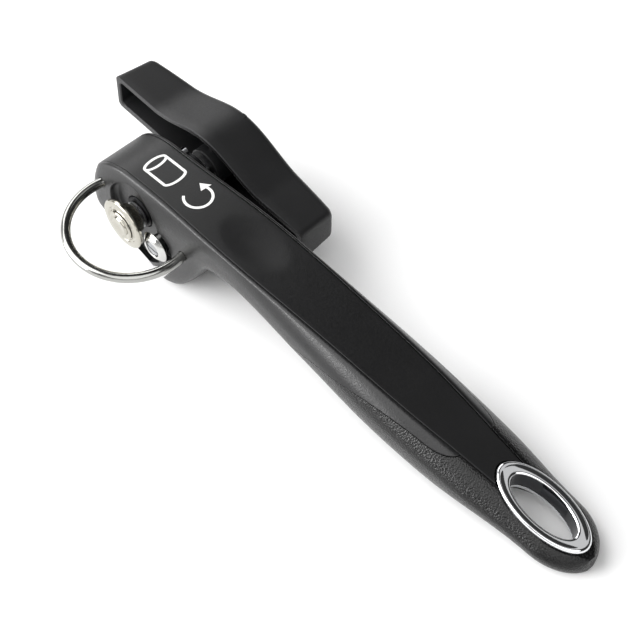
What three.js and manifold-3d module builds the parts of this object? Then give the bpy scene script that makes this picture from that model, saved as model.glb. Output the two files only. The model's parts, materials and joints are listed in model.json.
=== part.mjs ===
// Side-cutting hand can opener: a long arched handle, a butterfly knob on one side of the head,
// a flanged drive wheel and a cutting wheel on the other, a wire loop and a lined hanging hole.
// Millimetres. Handle frame while modelling: +X from nose to tail, +Y towards the knob, +Z up.
import * as THREE from 'three';
import { mergeVertices } from 'three/addons/utils/BufferGeometryUtils.js';
import Module from 'manifold-3d';

const wasm = await Module();
wasm.setup();

// ---------------------------------------------------------------- driving dimensions
const overallLength = 205;
const gap = 0.3;                    // running and seating clearance between neighbouring pieces

const headLength = 54;              // nose to the start of the slim neck
const headHalfWidth = 12;
const archRadius = 720;             // side view: the top line is one long arc
const archPeakX = 103;
const archPeakZ = 7.3;
const noseStart = -4;               // foremost point of the head
const noseLength = 20;              // the top line falls away over this length
const noseHeight = 14;
const noseRadius = 5;               // corners of the nose in plan
const tailRadius = 14;              // how far before the tail the outline starts to close

const lipWidth = 1.1;               // rim of the body beside the top cover
const coverThickness = 2.4;
const headCavityHalfWidth = 7.2;
const handleWall = 4.4;             // grip skin, clearance and body wall together
const gripSkin = 1.7;
const gripStartX = 84;
const dimpleDepth = 0.7;

const spindleX = 19.5;
const spindleZ = -13;
const spindleRadius = 3;
const bushRadius = 5.6;
const bushOffset = 1.2;             // eccentricity that clamps the drive wheel to the cutter
const bushSwing = 95;               // degrees, open to clamped
const bushFlangeRadius = 9.6;
const stopPinRadius = 0.9;
const stopPinOrbit = 8.5;

const flangeRadius = 9;             // drive wheel
const flangeThickness = 1.6;
const knurlRadius = 5.2;
const knurlTeeth = 24;
const cutterRadius = 5.6;
const cutterThickness = 1.5;
const clampedGap = 0.35;            // drive wheel to cutter with the bush turned home
const cutterBearing = -18.4;        // degrees below +X, from the bush axis to the cutter axis
const pivotRadius = 1.9;
const pocketDepth = 2.6;            // recess around the wheels

const wireRadius = 1.65;
const loopRadius = 20.5;
const loopX = 23.8;
const loopY = -16.3;
const loopZ = -10;
const loopEndAngle = 40;            // degrees past the head's side, where the wire ends inside

const knobHalfLength = 46;
const knobEndHalfHeight = 7.2;
const knobMidHalfHeight = 13.6;
const knobBulgeReach = 27;
const knobMouthY = 18.5;
const knobDepthMid = 18.2;
const knobDepthEnd = 14.9;
const knobWall = 2;
const knobDraft = 1;
const knobHubRadius = 6.8;
const squareAcross = 4.4;           // driving square on the spindle's outer end

const holeHalfLength = 12.2;        // clear opening of the hanging hole
const holeHalfWidth = 5.3;
const holeFromTail = 19.2;
const bezelWidth = 2.7;             // beside the opening; wider at its ends by endStretch
const endStretch = 1.8;
const bezelHeight = 0.9;
const sleeveWall = 1.1;

// ---------------------------------------------------------------- colours and finishes
const finishes = {
  abs: { color: 0x2b2b2d, roughness: 0.55, metalness: 0 },
  absSide: { color: 0x3a3a3c, roughness: 0.5, metalness: 0 },
  grip: { color: 0x1b1b1c, roughness: 0.75, metalness: 0 },
  chrome: { color: 0xd9dadb, roughness: 0.08, metalness: 1 },
  steel: { color: 0xb9bab9, roughness: 0.3, metalness: 1 },
  zinc: { color: 0x8b8c8e, roughness: 0.45, metalness: 1 },
};

// ---------------------------------------------------------------- solids and booleans
function solid(geometry) {
  const bare = geometry.clone();
  bare.deleteAttribute('normal');
  bare.deleteAttribute('uv');
  const merged = mergeVertices(bare, 1e-4);
  const mesh = new wasm.Mesh({
    numProp: 3,
    vertProperties: new Float32Array(merged.attributes.position.array),
    triVerts: new Uint32Array(merged.index.array),
  });
  return new wasm.Manifold(mesh);
}

function geometryOf(body) {
  const mesh = body.getMesh();
  const geometry = new THREE.BufferGeometry();
  geometry.setAttribute('position', new THREE.BufferAttribute(mesh.vertProperties, 3));
  geometry.setIndex(new THREE.BufferAttribute(mesh.triVerts, 1));
  return geometry;
}

const join = (...bodies) => bodies.reduce((sum, body) => sum.add(body));
const cut = (body, ...tools) => tools.reduce((rest, tool) => rest.subtract(tool), body);
const degrees = (angle) => (angle * Math.PI) / 180;

function outlineShape(points) {
  return new THREE.Shape(points.map(([u, v]) => new THREE.Vector2(u, v)));
}

// An outline in the XZ plane, extruded from y0 to y1.
function plateY(points, y0, y1) {
  const geometry = new THREE.ExtrudeGeometry(outlineShape(points), {
    depth: y1 - y0, bevelEnabled: false, steps: 1,
  });
  geometry.rotateX(Math.PI / 2);
  geometry.translate(0, y1, 0);
  return solid(geometry);
}

// An outline in the XY plane, extruded from z0 to z1.
function plateZ(points, z0, z1) {
  const geometry = new THREE.ExtrudeGeometry(outlineShape(points), {
    depth: z1 - z0, bevelEnabled: false, steps: 1,
  });
  geometry.translate(0, 0, z0);
  return solid(geometry);
}

// A turned piece about an axis parallel to Y through (x, z): profile is [radius, y] pairs.
function turnedY(profile, x, z, segments = 24) {
  const points = profile.map(([radius, y]) => new THREE.Vector2(radius, y));
  const geometry = new THREE.LatheGeometry(points, segments);
  geometry.translate(x, 0, z);
  const body = solid(geometry);
  return body.volume() < 0 ? solid(flipped(geometry)) : body;
}

function flipped(geometry) {
  const copy = geometry.clone();
  const index = Array.from(copy.index.array);
  for (let i = 0; i < index.length; i += 3) {
    [index[i], index[i + 1]] = [index[i + 1], index[i]];
  }
  copy.setIndex(index);
  return copy;
}

const rodY = (radius, y0, y1, x, z, segments = 24) => turnedY(
  [[0, y0], [radius, y0], [radius, y1], [0, y1]], x, z, segments);

const ringY = (inner, outer, y0, y1, x, z, segments = 24) => turnedY(
  [[inner, y0], [outer, y0], [outer, y1], [inner, y1], [inner, y0]], x, z, segments);

function box(x0, x1, y0, y1, z0, z1) {
  const geometry = new THREE.BoxGeometry(x1 - x0, y1 - y0, z1 - z0);
  geometry.translate((x0 + x1) / 2, (y0 + y1) / 2, (z0 + z1) / 2);
  return solid(geometry);
}

// Closed rings of equal length joined by quads; both ends are closed by a fan.
function loft(rings) {
  const sides = rings[0].length;
  const position = rings.flat().flatMap((point) => point.toArray());
  const index = [];
  for (let ring = 0; ring + 1 < rings.length; ring += 1) {
    for (let side = 0; side < sides; side += 1) {
      const a = ring * sides + side;
      const b = ring * sides + ((side + 1) % sides);
      index.push(a, b, a + sides, b, b + sides, a + sides);
    }
  }
  const ends = [[0, 1], [rings.length - 1, -1]];
  for (const [ring, turn] of ends) {
    const centre = rings[ring].reduce((sum, p) => sum.add(p), new THREE.Vector3());
    centre.divideScalar(sides);
    const hub = position.length / 3;
    position.push(...centre.toArray());
    for (let side = 0; side < sides; side += 1) {
      const a = ring * sides + side;
      const b = ring * sides + ((side + 1) % sides);
      index.push(...(turn > 0 ? [hub, b, a] : [hub, a, b]));
    }
  }
  const geometry = new THREE.BufferGeometry();
  geometry.setAttribute('position', new THREE.Float32BufferAttribute(position, 3));
  geometry.setIndex(index);
  const body = solid(geometry);
  return body.volume() < 0 ? solid(flipped(geometry)) : body;
}

// Smooth curve through [x, value] pairs, read at any x.
function curveThrough(pairs) {
  const slope = pairs.map(([x, value], i) => {
    const [xa, va] = pairs[Math.max(i - 1, 0)];
    const [xb, vb] = pairs[Math.min(i + 1, pairs.length - 1)];
    return (vb - va) / (xb - xa);
  });
  return (x) => {
    const last = pairs.length - 1;
    if (x <= pairs[0][0]) return pairs[0][1];
    if (x >= pairs[last][0]) return pairs[last][1];
    const i = pairs.findIndex(([end]) => end > x) - 1;
    const [xa, va] = pairs[i];
    const [xb, vb] = pairs[i + 1];
    const span = xb - xa;
    const t = (x - xa) / span;
    const h = t * t * (3 - 2 * t);
    const rise = t * (1 - t) ** 2 * slope[i] * span;
    const fall = t * t * (1 - t) * slope[i + 1] * span;
    return va + (vb - va) * h + rise - fall;
  };
}

// ---------------------------------------------------------------- handle outline
// Beyond the head, stations are shares of the way from the neck to the tail.
const alongHandle = (share) => headLength + share * (overallLength - headLength);

const archZ = (x) => archPeakZ - (x - archPeakX) ** 2 / (2 * archRadius);
const rounding = (radius, inside) => {
  const along = Math.min(Math.max(radius - inside, 0), radius);
  return radius - Math.sqrt(radius ** 2 - along ** 2);
};
const noseDrop = (x) => (noseHeight / noseLength) * rounding(noseLength, x - noseStart);
const noseCorner = (x) => rounding(noseRadius, x - noseStart);
const topZ = (x) => archZ(x) - noseDrop(x);

const tailClose = (x) => {
  const past = Math.max(x - (overallLength - tailRadius), 0) / tailRadius;
  return Math.sqrt(Math.max(1 - past ** 2, 0));
};

const creaseHalf = curveThrough([
  [0, 9.6], [28, 9.6], [headLength, 10.5], [alongHandle(0.1), 10.7], [alongHandle(0.32), 10],
  [alongHandle(0.55), 9], [alongHandle(0.73), 7], [alongHandle(0.84), 5.9], [overallLength, 5.5],
]);
const bulgeHalf = curveThrough([
  [0, headHalfWidth], [36, headHalfWidth], [headLength, 11.4], [alongHandle(0.1), 11.4],
  [alongHandle(0.3), 12.8], [alongHandle(0.5), 13.9], [alongHandle(0.72), 13.1],
  [alongHandle(0.86), 11.1], [overallLength, 10.3],
]);
const bulgeDepth = curveThrough([
  [0, 9], [40, 9], [headLength, 5], [alongHandle(0.3), 7], [alongHandle(0.5), 8.5],
  [alongHandle(0.75), 6.5], [overallLength, 3.4],
]);
const sectionDepth = curveThrough([
  [noseStart, 19], [-3, 22.6], [1.2, 27], [6.4, 31], [15, 34.6], [24, 38], [29, 41], [32, 41.2],
  [38.6, 37.4], [44.8, 29.4], [49.5, 21.2], [headLength, 16.6], [62, 14.8], [alongHandle(0.14), 15.4],
  [alongHandle(0.3), 18.8], [alongHandle(0.5), 21], [alongHandle(0.66), 19.8],
  [alongHandle(0.77), 15], [alongHandle(0.87), 12], [overallLength, 9],
]);
const squareness = curveThrough([
  [0, 7], [38, 7], [headLength, 4.2], [alongHandle(0.3), 3], [alongHandle(0.5), 2.7], [overallLength, 2.4],
]);

const lowerSteps = 5;
const tailFlatness = 0.6;           // share of the depth left where the tail closes

// One cross-section of the outer skin, drawn in by inset, as a closed ring of points.
function section(x, inset = 0) {
  const close = tailClose(x);
  const nose = noseCorner(x);
  const bulge = Math.max((bulgeHalf(x) - nose) * close - inset, 0.05);
  const crease = Math.min(Math.max((creaseHalf(x) - nose) * close - inset, 0.04), bulge);
  const underside = archZ(x) - sectionDepth(x);
  const centre = (topZ(x) + underside) / 2;
  const kept = tailFlatness + (1 - tailFlatness) * close;
  const halfDepth = Math.max((topZ(x) - underside) / 2 - inset, 0.05) * kept;
  const top = centre + halfDepth;
  const bottom = centre - halfDepth;
  const middle = top - Math.min(bulgeDepth(x), halfDepth);
  const power = 2 / squareness(x);
  const half = [[crease, top]];
  for (const share of [0.34, 0.68]) {
    half.push([crease + (bulge - crease) * share * (2 - share), top + (middle - top) * share]);
  }
  for (let step = 0; step <= lowerSteps; step += 1) {
    const turn = (step / lowerSteps) * (Math.PI / 2);
    const out = Math.max(Math.cos(turn), 0) ** power;
    const down = Math.sin(turn) ** power;
    half.push([bulge * out, middle + (bottom - middle) * down]);
  }
  const right = half.map(([y, z]) => new THREE.Vector3(x, y, z));
  const left = half.slice(0, -1).reverse().map(([y, z]) => new THREE.Vector3(x, -y, z));
  return [...right, ...left];
}

function stationsBetween(start, end, spacing) {
  const count = Math.max(Math.round((end - start) / spacing), 1);
  return Array.from({ length: count + 1 }, (unused, i) => start + ((end - start) * i) / count);
}

function uniqueStations(...lists) {
  const sorted = lists.flat().sort((a, b) => a - b);
  return sorted.filter((x, i) => i === 0 || x - sorted[i - 1] > 0.05);
}

const tailStart = overallLength - tailRadius;
const tailStations = [0, 0.3, 0.55, 0.75, 0.9, 0.985].map((s) => tailStart + s * tailRadius);
const noseStations = [0, 0.4, 1.6, 4, 7, 10, 14].map((ahead) => noseStart + ahead);
const handleStations = uniqueStations(
  noseStations, stationsBetween(noseStart + noseLength, 28, 6), stationsBetween(31, headLength, 3),
  stationsBetween(headLength + 5, tailStart, 10), tailStations);

const outerSkin = loft(handleStations.map((x) => section(x)));

// ---------------------------------------------------------------- axes inside the head
const bearing = degrees(cutterBearing);
const toCutter = new THREE.Vector2(Math.cos(bearing), Math.sin(bearing));
const openTurn = degrees(bushSwing);
const fromBush = new THREE.Vector2(
  toCutter.x * Math.cos(openTurn) + toCutter.y * Math.sin(openTurn),
  -toCutter.x * Math.sin(openTurn) + toCutter.y * Math.cos(openTurn));
const bushX = spindleX - bushOffset * fromBush.x;
const bushZ = spindleZ - bushOffset * fromBush.y;
const wheelSpacing = knurlRadius + cutterRadius + clampedGap + bushOffset;
const cutterX = bushX + wheelSpacing * toCutter.x;
const cutterZ = bushZ + wheelSpacing * toCutter.y;

const pocketFloorY = -headHalfWidth + pocketDepth;
const nearWallY = -headCavityHalfWidth;
const bushFrontY = pocketFloorY - gap;
const bushFlangeY = headHalfWidth + 1;
const bushBackY = bushFlangeY + 1.8;
const thrustThickness = 0.6;
const hubBackY = bushFrontY - 2 * gap - thrustThickness;
const flangeBackY = -headHalfWidth - 3.2;
const flangeFrontY = flangeBackY - flangeThickness;

// ---------------------------------------------------------------- hanging hole, tilted with the top line
const holeX = overallLength - holeFromTail;
const holeTilt = Math.atan((holeX - archPeakX) / archRadius);
const holeTopZ = archZ(holeX);
const holeDepth = sectionDepth(holeX);

function ovalRing(profile, segments = 32) {
  const rings = [];
  for (let i = 0; i < segments; i += 1) {
    const turn = (i / segments) * Math.PI * 2;
    rings.push(profile.map(([out, z]) => new THREE.Vector3(
      (holeHalfLength + out * endStretch) * Math.cos(turn), (holeHalfWidth + out) * Math.sin(turn), z)));
  }
  const count = profile.length;
  const index = [];
  for (let i = 0; i < segments; i += 1) {
    const next = ((i + 1) % segments) * count;
    for (let k = 0; k < count; k += 1) {
      const l = (k + 1) % count;
      index.push(i * count + k, next + k, i * count + l, next + k, next + l, i * count + l);
    }
  }
  const geometry = new THREE.BufferGeometry();
  const position = rings.flat().flatMap((point) => point.toArray());
  geometry.setAttribute('position', new THREE.Float32BufferAttribute(position, 3));
  geometry.setIndex(index);
  geometry.rotateY(holeTilt);
  geometry.translate(holeX, 0, holeTopZ);
  const body = solid(geometry);
  return body.volume() < 0 ? solid(flipped(geometry)) : body;
}

function ovalPlug(out, z0, z1, segments = 32) {
  const geometry = new THREE.CylinderGeometry(1, 1, z1 - z0, segments);
  geometry.rotateX(Math.PI / 2);
  geometry.scale(holeHalfLength + out * endStretch, holeHalfWidth + out, 1);
  geometry.translate(0, 0, (z0 + z1) / 2);
  geometry.rotateY(holeTilt);
  geometry.translate(holeX, 0, holeTopZ);
  return solid(geometry);
}

const bezelSeatDepth = 0.7;
const backRingHeight = 1.6;
const backRingSunk = 3.6;
const backRingWidth = 1.9;
const backRingZ = -holeDepth + backRingSunk;
const sleeveBottom = backRingZ + backRingHeight + gap;
const holeSleeve = ovalRing([
  [0.5, bezelHeight], [bezelWidth - 0.7, bezelHeight * 0.75],
  [bezelWidth, -0.1], [bezelWidth, -bezelSeatDepth],
  [sleeveWall, -bezelSeatDepth], [sleeveWall, sleeveBottom], [0, sleeveBottom], [0, bezelHeight * 0.4],
]);
const backRing = ovalRing([
  [0.3, backRingZ], [backRingWidth - 0.4, backRingZ], [backRingWidth, backRingZ + 0.5],
  [backRingWidth, sleeveBottom - gap], [0, sleeveBottom - gap], [0, backRingZ + 0.4],
]);
const holeClearance = [
  ovalPlug(sleeveWall + gap, -holeDepth - 6, 6),
  ovalPlug(bezelWidth + gap, -bezelSeatDepth - gap, 6),
  ovalPlug(backRingWidth + gap, -holeDepth - 6, sleeveBottom),
];

// ---------------------------------------------------------------- top cover
const coverStartX = noseStart + 1.5;
const coverEndX = overallLength - holeFromTail - holeHalfLength;

function coverBand(grow) {
  const nose = [0, 0.7, 1.6, 3, 5, 8].map((ahead) => coverStartX - grow + ahead);
  const xs = uniqueStations(nose, stationsBetween(coverStartX + 12, coverEndX + grow, 12));
  const lower = xs.map((x) => [x, topZ(x) - coverThickness - grow]).reverse();
  return [[coverStartX - grow, archPeakZ + 6], [coverEndX + grow, archPeakZ + 6], ...lower];
}

function coverPlan(grow) {
  const nose = [0, 0.7, 1.6, 3].map((ahead) => coverStartX - grow + ahead);
  const xs = uniqueStations(nose, stationsBetween(coverStartX + 8, coverEndX + grow, 9));
  const right = xs.map((x) => [x, creaseHalf(x) - noseCorner(x) - lipWidth + grow]);
  const left = right.map(([x, y]) => [x, -y]).reverse();
  return [...right, ...left];
}

const coverStrip = (grow) => plateY(coverBand(grow), -20, 20).intersect(plateZ(coverPlan(grow), -40, 30));

function thumbDimple() {
  const length = 14.5;
  const width = 8.4;
  const centreX = 65;
  const reach = 6;
  const sphere = new THREE.SphereGeometry(1, 24, 40);
  const shrink = Math.sqrt(1 - (1 - dimpleDepth / reach) ** 2);
  sphere.scale(length / shrink, width / shrink, reach);
  sphere.rotateY(Math.asin((centreX - archPeakX) / archRadius));
  sphere.translate(centreX, 0, archZ(centreX) + reach - dimpleDepth);
  return solid(sphere);
}

// The cover's tail end is hollowed to follow the oval bezel.
const coverRegion = (grow) => cut(coverStrip(grow), ovalPlug(bezelWidth + gap - grow, -holeDepth - 6, 12));
const topCover = cut(outerSkin.intersect(coverRegion(0)), thumbDimple());

// ---------------------------------------------------------------- soft grip
const gripWrapX = alongHandle(0.75);   // from here on the grip wraps over the top of the tail
const gripEdge = curveThrough([
  [gripStartX, -13], [gripStartX + 3, -9.4], [alongHandle(0.26), -5.4], [alongHandle(0.33), -1.8],
  [alongHandle(0.4), 0.6], [alongHandle(0.49), 2.8], [alongHandle(0.58), 3.7], [alongHandle(0.68), 4.1],
  [gripWrapX, 9],
]);

function gripRegion(grow) {
  const xs = stationsBetween(gripStartX, gripWrapX, 5);
  const edge = xs.map((x) => [x - grow * 0.6, gripEdge(x) + grow]);
  const tail = [[overallLength + 5, 9 + grow], [overallLength + 5, -40]];
  return plateY([[gripStartX - grow, -40], ...edge, ...tail], -30, 30);
}

function insetSkin(inset, start, end, spacing) {
  return loft(stationsBetween(start, end, spacing).map((x) => section(x, inset)));
}

const gripCore = insetSkin(gripSkin, gripStartX - 6, overallLength - gripSkin, 11);
const bodyCore = insetSkin(gripSkin + gap, gripStartX - 7, overallLength - gripSkin - gap, 11);

// ---------------------------------------------------------------- head details
const pocketRadius = flangeRadius + 2.9;
const cutterPocketRadius = cutterRadius + 0.9;

const headPocket = join(
  rodY(pocketRadius, -30, pocketFloorY, bushX, bushZ, 32),
  rodY(cutterPocketRadius, -30, pocketFloorY, cutterX, cutterZ, 24),
  plateY([[10, -17], [9, -26.5], [15, -29], [24.5, -32], [31, -26], [cutterX, cutterZ]], -30, pocketFloorY));

// Slot between the head and the pull-tab hook below it.
const tabSlot = plateY([
  [40.4, -20.2], [39.4, -19.2], [24.6, -34.4], [21.5, -46], [27.5, -46], [29.4, -37.4],
], -30, 30);

const headWall = 2.2;
const cavityFrontX = coverThickness + gap + 0.6;
const cavityBackX = 48;
const headCavity = plateY([
  [cavityFrontX, 20], [cavityFrontX, -17], [9, -25], [23.5, -28], [35, -20], [39, -14.5],
  [44.5, -14], [cavityBackX, -9], [cavityBackX, 20],
], -headCavityHalfWidth, headCavityHalfWidth).intersect(join(
  insetSkin(headWall, headWall, cavityBackX + 4, 5),
  box(cavityFrontX - 0.5, cavityBackX + 2, -headCavityHalfWidth, headCavityHalfWidth, -6, 20)));

const underCover = insetSkin(handleWall, headLength - 4, alongHandle(0.72), 14);
const handleCavity = join(underCover, underCover.translate([0, 0, 2.5]));

// ---------------------------------------------------------------- wire loop
function loopArc(fromAngle, toAngle) {
  const arc = new THREE.Curve();
  arc.getPoint = (t, target = new THREE.Vector3()) => {
    const turn = degrees(fromAngle + (toAngle - fromAngle) * t);
    return target.set(loopX + loopRadius * Math.cos(turn), loopY + loopRadius * Math.sin(turn), loopZ);
  };
  return arc;
}

function loopTube(radius, extra, steps, sides) {
  const section2d = new THREE.Shape();
  section2d.absarc(0, 0, radius, 0, Math.PI * 2);
  const geometry = new THREE.ExtrudeGeometry(section2d, {
    steps, curveSegments: sides, bevelEnabled: false,
    extrudePath: loopArc(180 - loopEndAngle - extra, 360 + loopEndAngle + extra),
  });
  return solid(geometry);
}

const wireLoop = loopTube(wireRadius, 0, 32, 5);
const wireBore = loopTube(wireRadius + gap, 3, 32, 5);

function loopRetainer(angle) {
  const turn = degrees(angle);
  const geometry = new THREE.LatheGeometry([
    new THREE.Vector2(wireRadius + gap, -0.4), new THREE.Vector2(2.9, -0.4),
    new THREE.Vector2(2.9, 0.4), new THREE.Vector2(wireRadius + gap, 0.4),
    new THREE.Vector2(wireRadius + gap, -0.4),
  ], 24);
  geometry.rotateZ(turn);
  geometry.translate(loopX + loopRadius * Math.cos(turn), loopY + loopRadius * Math.sin(turn), loopZ);
  return solid(geometry);
}

// ---------------------------------------------------------------- handle body
const bushHole = rodY(bushRadius + gap, -20, 20, bushX, bushZ, 24);
const pivotHole = rodY(pivotRadius + gap, -20, 0, cutterX, cutterZ, 24);
const pinAngle = degrees(-35);
const pinX = bushX + stopPinOrbit * Math.sin(pinAngle);
const pinZ = bushZ + stopPinOrbit * Math.cos(pinAngle);
const pinHole = rodY(stopPinRadius + gap, headHalfWidth - 3 - gap, 20, pinX, pinZ, 20);

const bodyBlank = cut(outerSkin, gripRegion(gap)).add(outerSkin.intersect(bodyCore));
const handleShell = cut(bodyBlank, coverRegion(gap), headCavity, handleCavity, headPocket, tabSlot,
  wireBore, bushHole, pivotHole, pinHole, ...holeClearance);
const gripShell = cut(outerSkin.intersect(gripRegion(0)), gripCore, coverRegion(gap), ...holeClearance);

// ---------------------------------------------------------------- bush, spindle and drive wheel
function sector(inner, outer, y0, y1, startDegrees, endDegrees) {
  const steps = 12;
  const at = (radius, angle) => [bushX + radius * Math.sin(angle), bushZ + radius * Math.cos(angle)];
  const angles = Array.from({ length: steps + 1 }, (unused, i) =>
    degrees(startDegrees + ((endDegrees - startDegrees) * i) / steps));
  return plateY([...angles.map((a) => at(outer, a)), ...angles.reverse().map((a) => at(inner, a))], y0, y1);
}

const pinSpan = (Math.asin((stopPinRadius + gap) / stopPinOrbit) * 180) / Math.PI;
const pinDegrees = (pinAngle * 180) / Math.PI;
const stopNotch = sector(stopPinOrbit - stopPinRadius - gap, bushFlangeRadius + 2,
  bushFlangeY - 1, bushBackY + 1, pinDegrees - pinSpan, pinDegrees + bushSwing + pinSpan);

const eccentricBush = cut(
  turnedY([[0, bushFrontY], [bushRadius, bushFrontY], [bushRadius, bushFlangeY],
    [bushFlangeRadius, bushFlangeY], [bushFlangeRadius, bushBackY], [0, bushBackY]], bushX, bushZ, 24),
  rodY(spindleRadius + gap, -30, 30, spindleX, spindleZ), stopNotch);

const waveWasher = ringY(bushRadius + gap, 7, headHalfWidth + gap, bushFlangeY - gap, bushX, bushZ);
const stopPin = rodY(stopPinRadius, headHalfWidth - 3, bushBackY - 0.4, pinX, pinZ, 16);

const thrustFront = ringY(spindleRadius + gap, 4.6, hubBackY + gap, bushFrontY - gap, spindleX, spindleZ);
const thrustRear = ringY(spindleRadius + gap, 5.4, bushBackY + gap, bushBackY + gap + thrustThickness,
  spindleX, spindleZ);
const circlipY = bushBackY + 2 * gap + thrustThickness;
const circlipThickness = 0.6;
const circlipGroove = 0.5;
const squareStartY = circlipY + circlipThickness + 2 * gap;
const squareEndY = knobMouthY + knobDepthMid - 8;
const screwHoleRadius = 1.5;
const noseRadiusOfSpindle = 2.4;

const squarePrism = (across, y0, y1) => box(
  spindleX - across / 2, spindleX + across / 2, y0, y1, spindleZ - across / 2, spindleZ + across / 2);

const spindle = cut(
  join(
    rodY(noseRadiusOfSpindle, flangeFrontY + 0.5, hubBackY + 1, spindleX, spindleZ, 24),
    rodY(spindleRadius, hubBackY, circlipY, spindleX, spindleZ),
    rodY(spindleRadius - circlipGroove, circlipY - 1, squareStartY, spindleX, spindleZ, 24),
    squarePrism(squareAcross, squareStartY - 0.1, squareEndY)),
  rodY(screwHoleRadius + gap, squareEndY - 7, squareEndY + 5, spindleX, spindleZ, 20));

const circlip = cut(
  ringY(spindleRadius - circlipGroove + gap, 4.8, circlipY + gap, circlipY + gap + circlipThickness - 0.1,
    spindleX, spindleZ),
  box(spindleX - 0.9, spindleX + 0.9, 0, 40, spindleZ - 8, spindleZ));

function knurledHub() {
  const points = [];
  for (let tooth = 0; tooth < knurlTeeth; tooth += 1) {
    const start = (tooth / knurlTeeth) * Math.PI * 2;
    const half = Math.PI / knurlTeeth;
    points.push([knurlRadius, start], [knurlRadius - 0.5, start + half]);
  }
  const outline = points.map(([r, a]) => [spindleX + r * Math.cos(a), spindleZ + r * Math.sin(a)]);
  return plateY(outline, flangeBackY - 0.2, hubBackY - 0.9);
}

const driveWheel = cut(
  join(
    turnedY([[0, flangeFrontY], [flangeRadius - 0.9, flangeFrontY], [flangeRadius, flangeFrontY + 0.5],
      [flangeRadius, flangeBackY - 0.3], [flangeRadius - 0.5, flangeBackY], [0, flangeBackY]],
    spindleX, spindleZ, 32),
    knurledHub(),
    rodY(knurlRadius - 0.9, hubBackY - 1.2, hubBackY - gap, spindleX, spindleZ)),
  rodY(noseRadiusOfSpindle + gap, -30, 0, spindleX, spindleZ, 24),
  ringY(5.6, 6.5, flangeFrontY - 1, flangeFrontY + 0.4, spindleX, spindleZ, 24));

const wheelCap = turnedY([[0, flangeFrontY - 1.3], [3.2, flangeFrontY - 1.15], [4.9, flangeFrontY - 0.8],
  [5.2, flangeFrontY - gap], [0, flangeFrontY - gap]], spindleX, spindleZ, 24);

// ---------------------------------------------------------------- cutting wheel on its pivot
const cutterFrontY = flangeBackY + gap + 0.2;
const cutterBackY = cutterFrontY + cutterThickness;
const cutterWasherY = pocketFloorY - gap;
const cutterHubY = cutterWasherY - 0.4 - gap;
const pivotHeadRadius = 2.7;
const pivotHeadHeight = 1;
const pivotHeadFrontY = cutterFrontY + 0.1;
const pivotHeadBackY = pivotHeadFrontY + pivotHeadHeight;
const pivotSlotWidth = 0.7;
const cutterWheel = cut(
  turnedY([[0, cutterFrontY], [cutterRadius - 1.7, cutterFrontY], [cutterRadius, cutterBackY - 0.25],
    [cutterRadius - 0.1, cutterBackY], [3.4, cutterBackY], [3.4, cutterHubY], [0, cutterHubY]],
  cutterX, cutterZ, 32),
  rodY(pivotRadius + gap, -30, 0, cutterX, cutterZ, 24),
  rodY(pivotHeadRadius + gap, -30, pivotHeadBackY + gap, cutterX, cutterZ, 24));
const cutterWasher = ringY(pivotRadius + gap, 3.4, cutterWasherY - 0.4, cutterWasherY, cutterX, cutterZ, 20);
const cutterPivot = cut(
  join(
    turnedY([[0, pivotHeadFrontY], [pivotHeadRadius - 0.4, pivotHeadFrontY],
      [pivotHeadRadius, pivotHeadFrontY + 0.4], [pivotHeadRadius, pivotHeadBackY],
      [0, pivotHeadBackY]], cutterX, cutterZ, 20),
    rodY(pivotRadius, pivotHeadBackY - 0.3, nearWallY + 3.4, cutterX, cutterZ, 24)),
  box(cutterX - 2, cutterX + 2, -30, pivotHeadFrontY + 0.5,
    cutterZ - pivotSlotWidth / 2, cutterZ + pivotSlotWidth / 2));

// Steel plate behind the near wall: it carries the bush and holds the pivot's thread.
const chassisPlate = cut(
  plateY([[10.2, -2.4], [10.2, -22.5], [24, -25.5], [34.6, -17.8], [37, -14.5], [37, -2.4]],
    nearWallY + gap, nearWallY + gap + 1.5),
  bushHole, pivotHole);

// ---------------------------------------------------------------- knob
const knobFaceDepth = (x, shrink = 0) => {
  const share = Math.min(Math.abs(x) / knobHalfLength, 1);
  return knobDepthMid - (knobDepthMid - knobDepthEnd) * share ** 2 - shrink;
};
const knobHalfHeight = (x) => {
  const reach = Math.min(Math.abs(x) / knobBulgeReach, 1);
  const bulge = 0.5 + 0.5 * Math.cos(Math.PI * reach);
  return knobEndHalfHeight + (knobMidHalfHeight - knobEndHalfHeight) * bulge;
};

// The knob's outline at one depth: pairs of points above and below the axis, drawn in by inset.
function knobRing(share, inset, wall) {
  const endRound = 1.6;
  const half = knobHalfLength - inset;
  const count = 16;
  const xs = Array.from({ length: count + 1 }, (unused, i) => {
    const t = (i / count) * 2 - 1;
    return half * Math.sign(t) * (1 - (1 - Math.abs(t)) ** 1.15);
  });
  const heights = xs.map((x) => {
    const fromEnd = Math.min(half - Math.abs(x), endRound);
    const corner = rounding(endRound, fromEnd);
    return knobHalfHeight(x) - inset - corner * 0.9;
  });
  const y = (x) => knobMouthY + share * knobFaceDepth(x, wall);
  const upper = xs.map((x, i) => new THREE.Vector3(spindleX + x, y(x), spindleZ + heights[i]));
  const lower = xs.map((x, i) => new THREE.Vector3(spindleX + x, y(x), spindleZ - heights[i])).reverse();
  return [...upper, ...lower];
}

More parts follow.
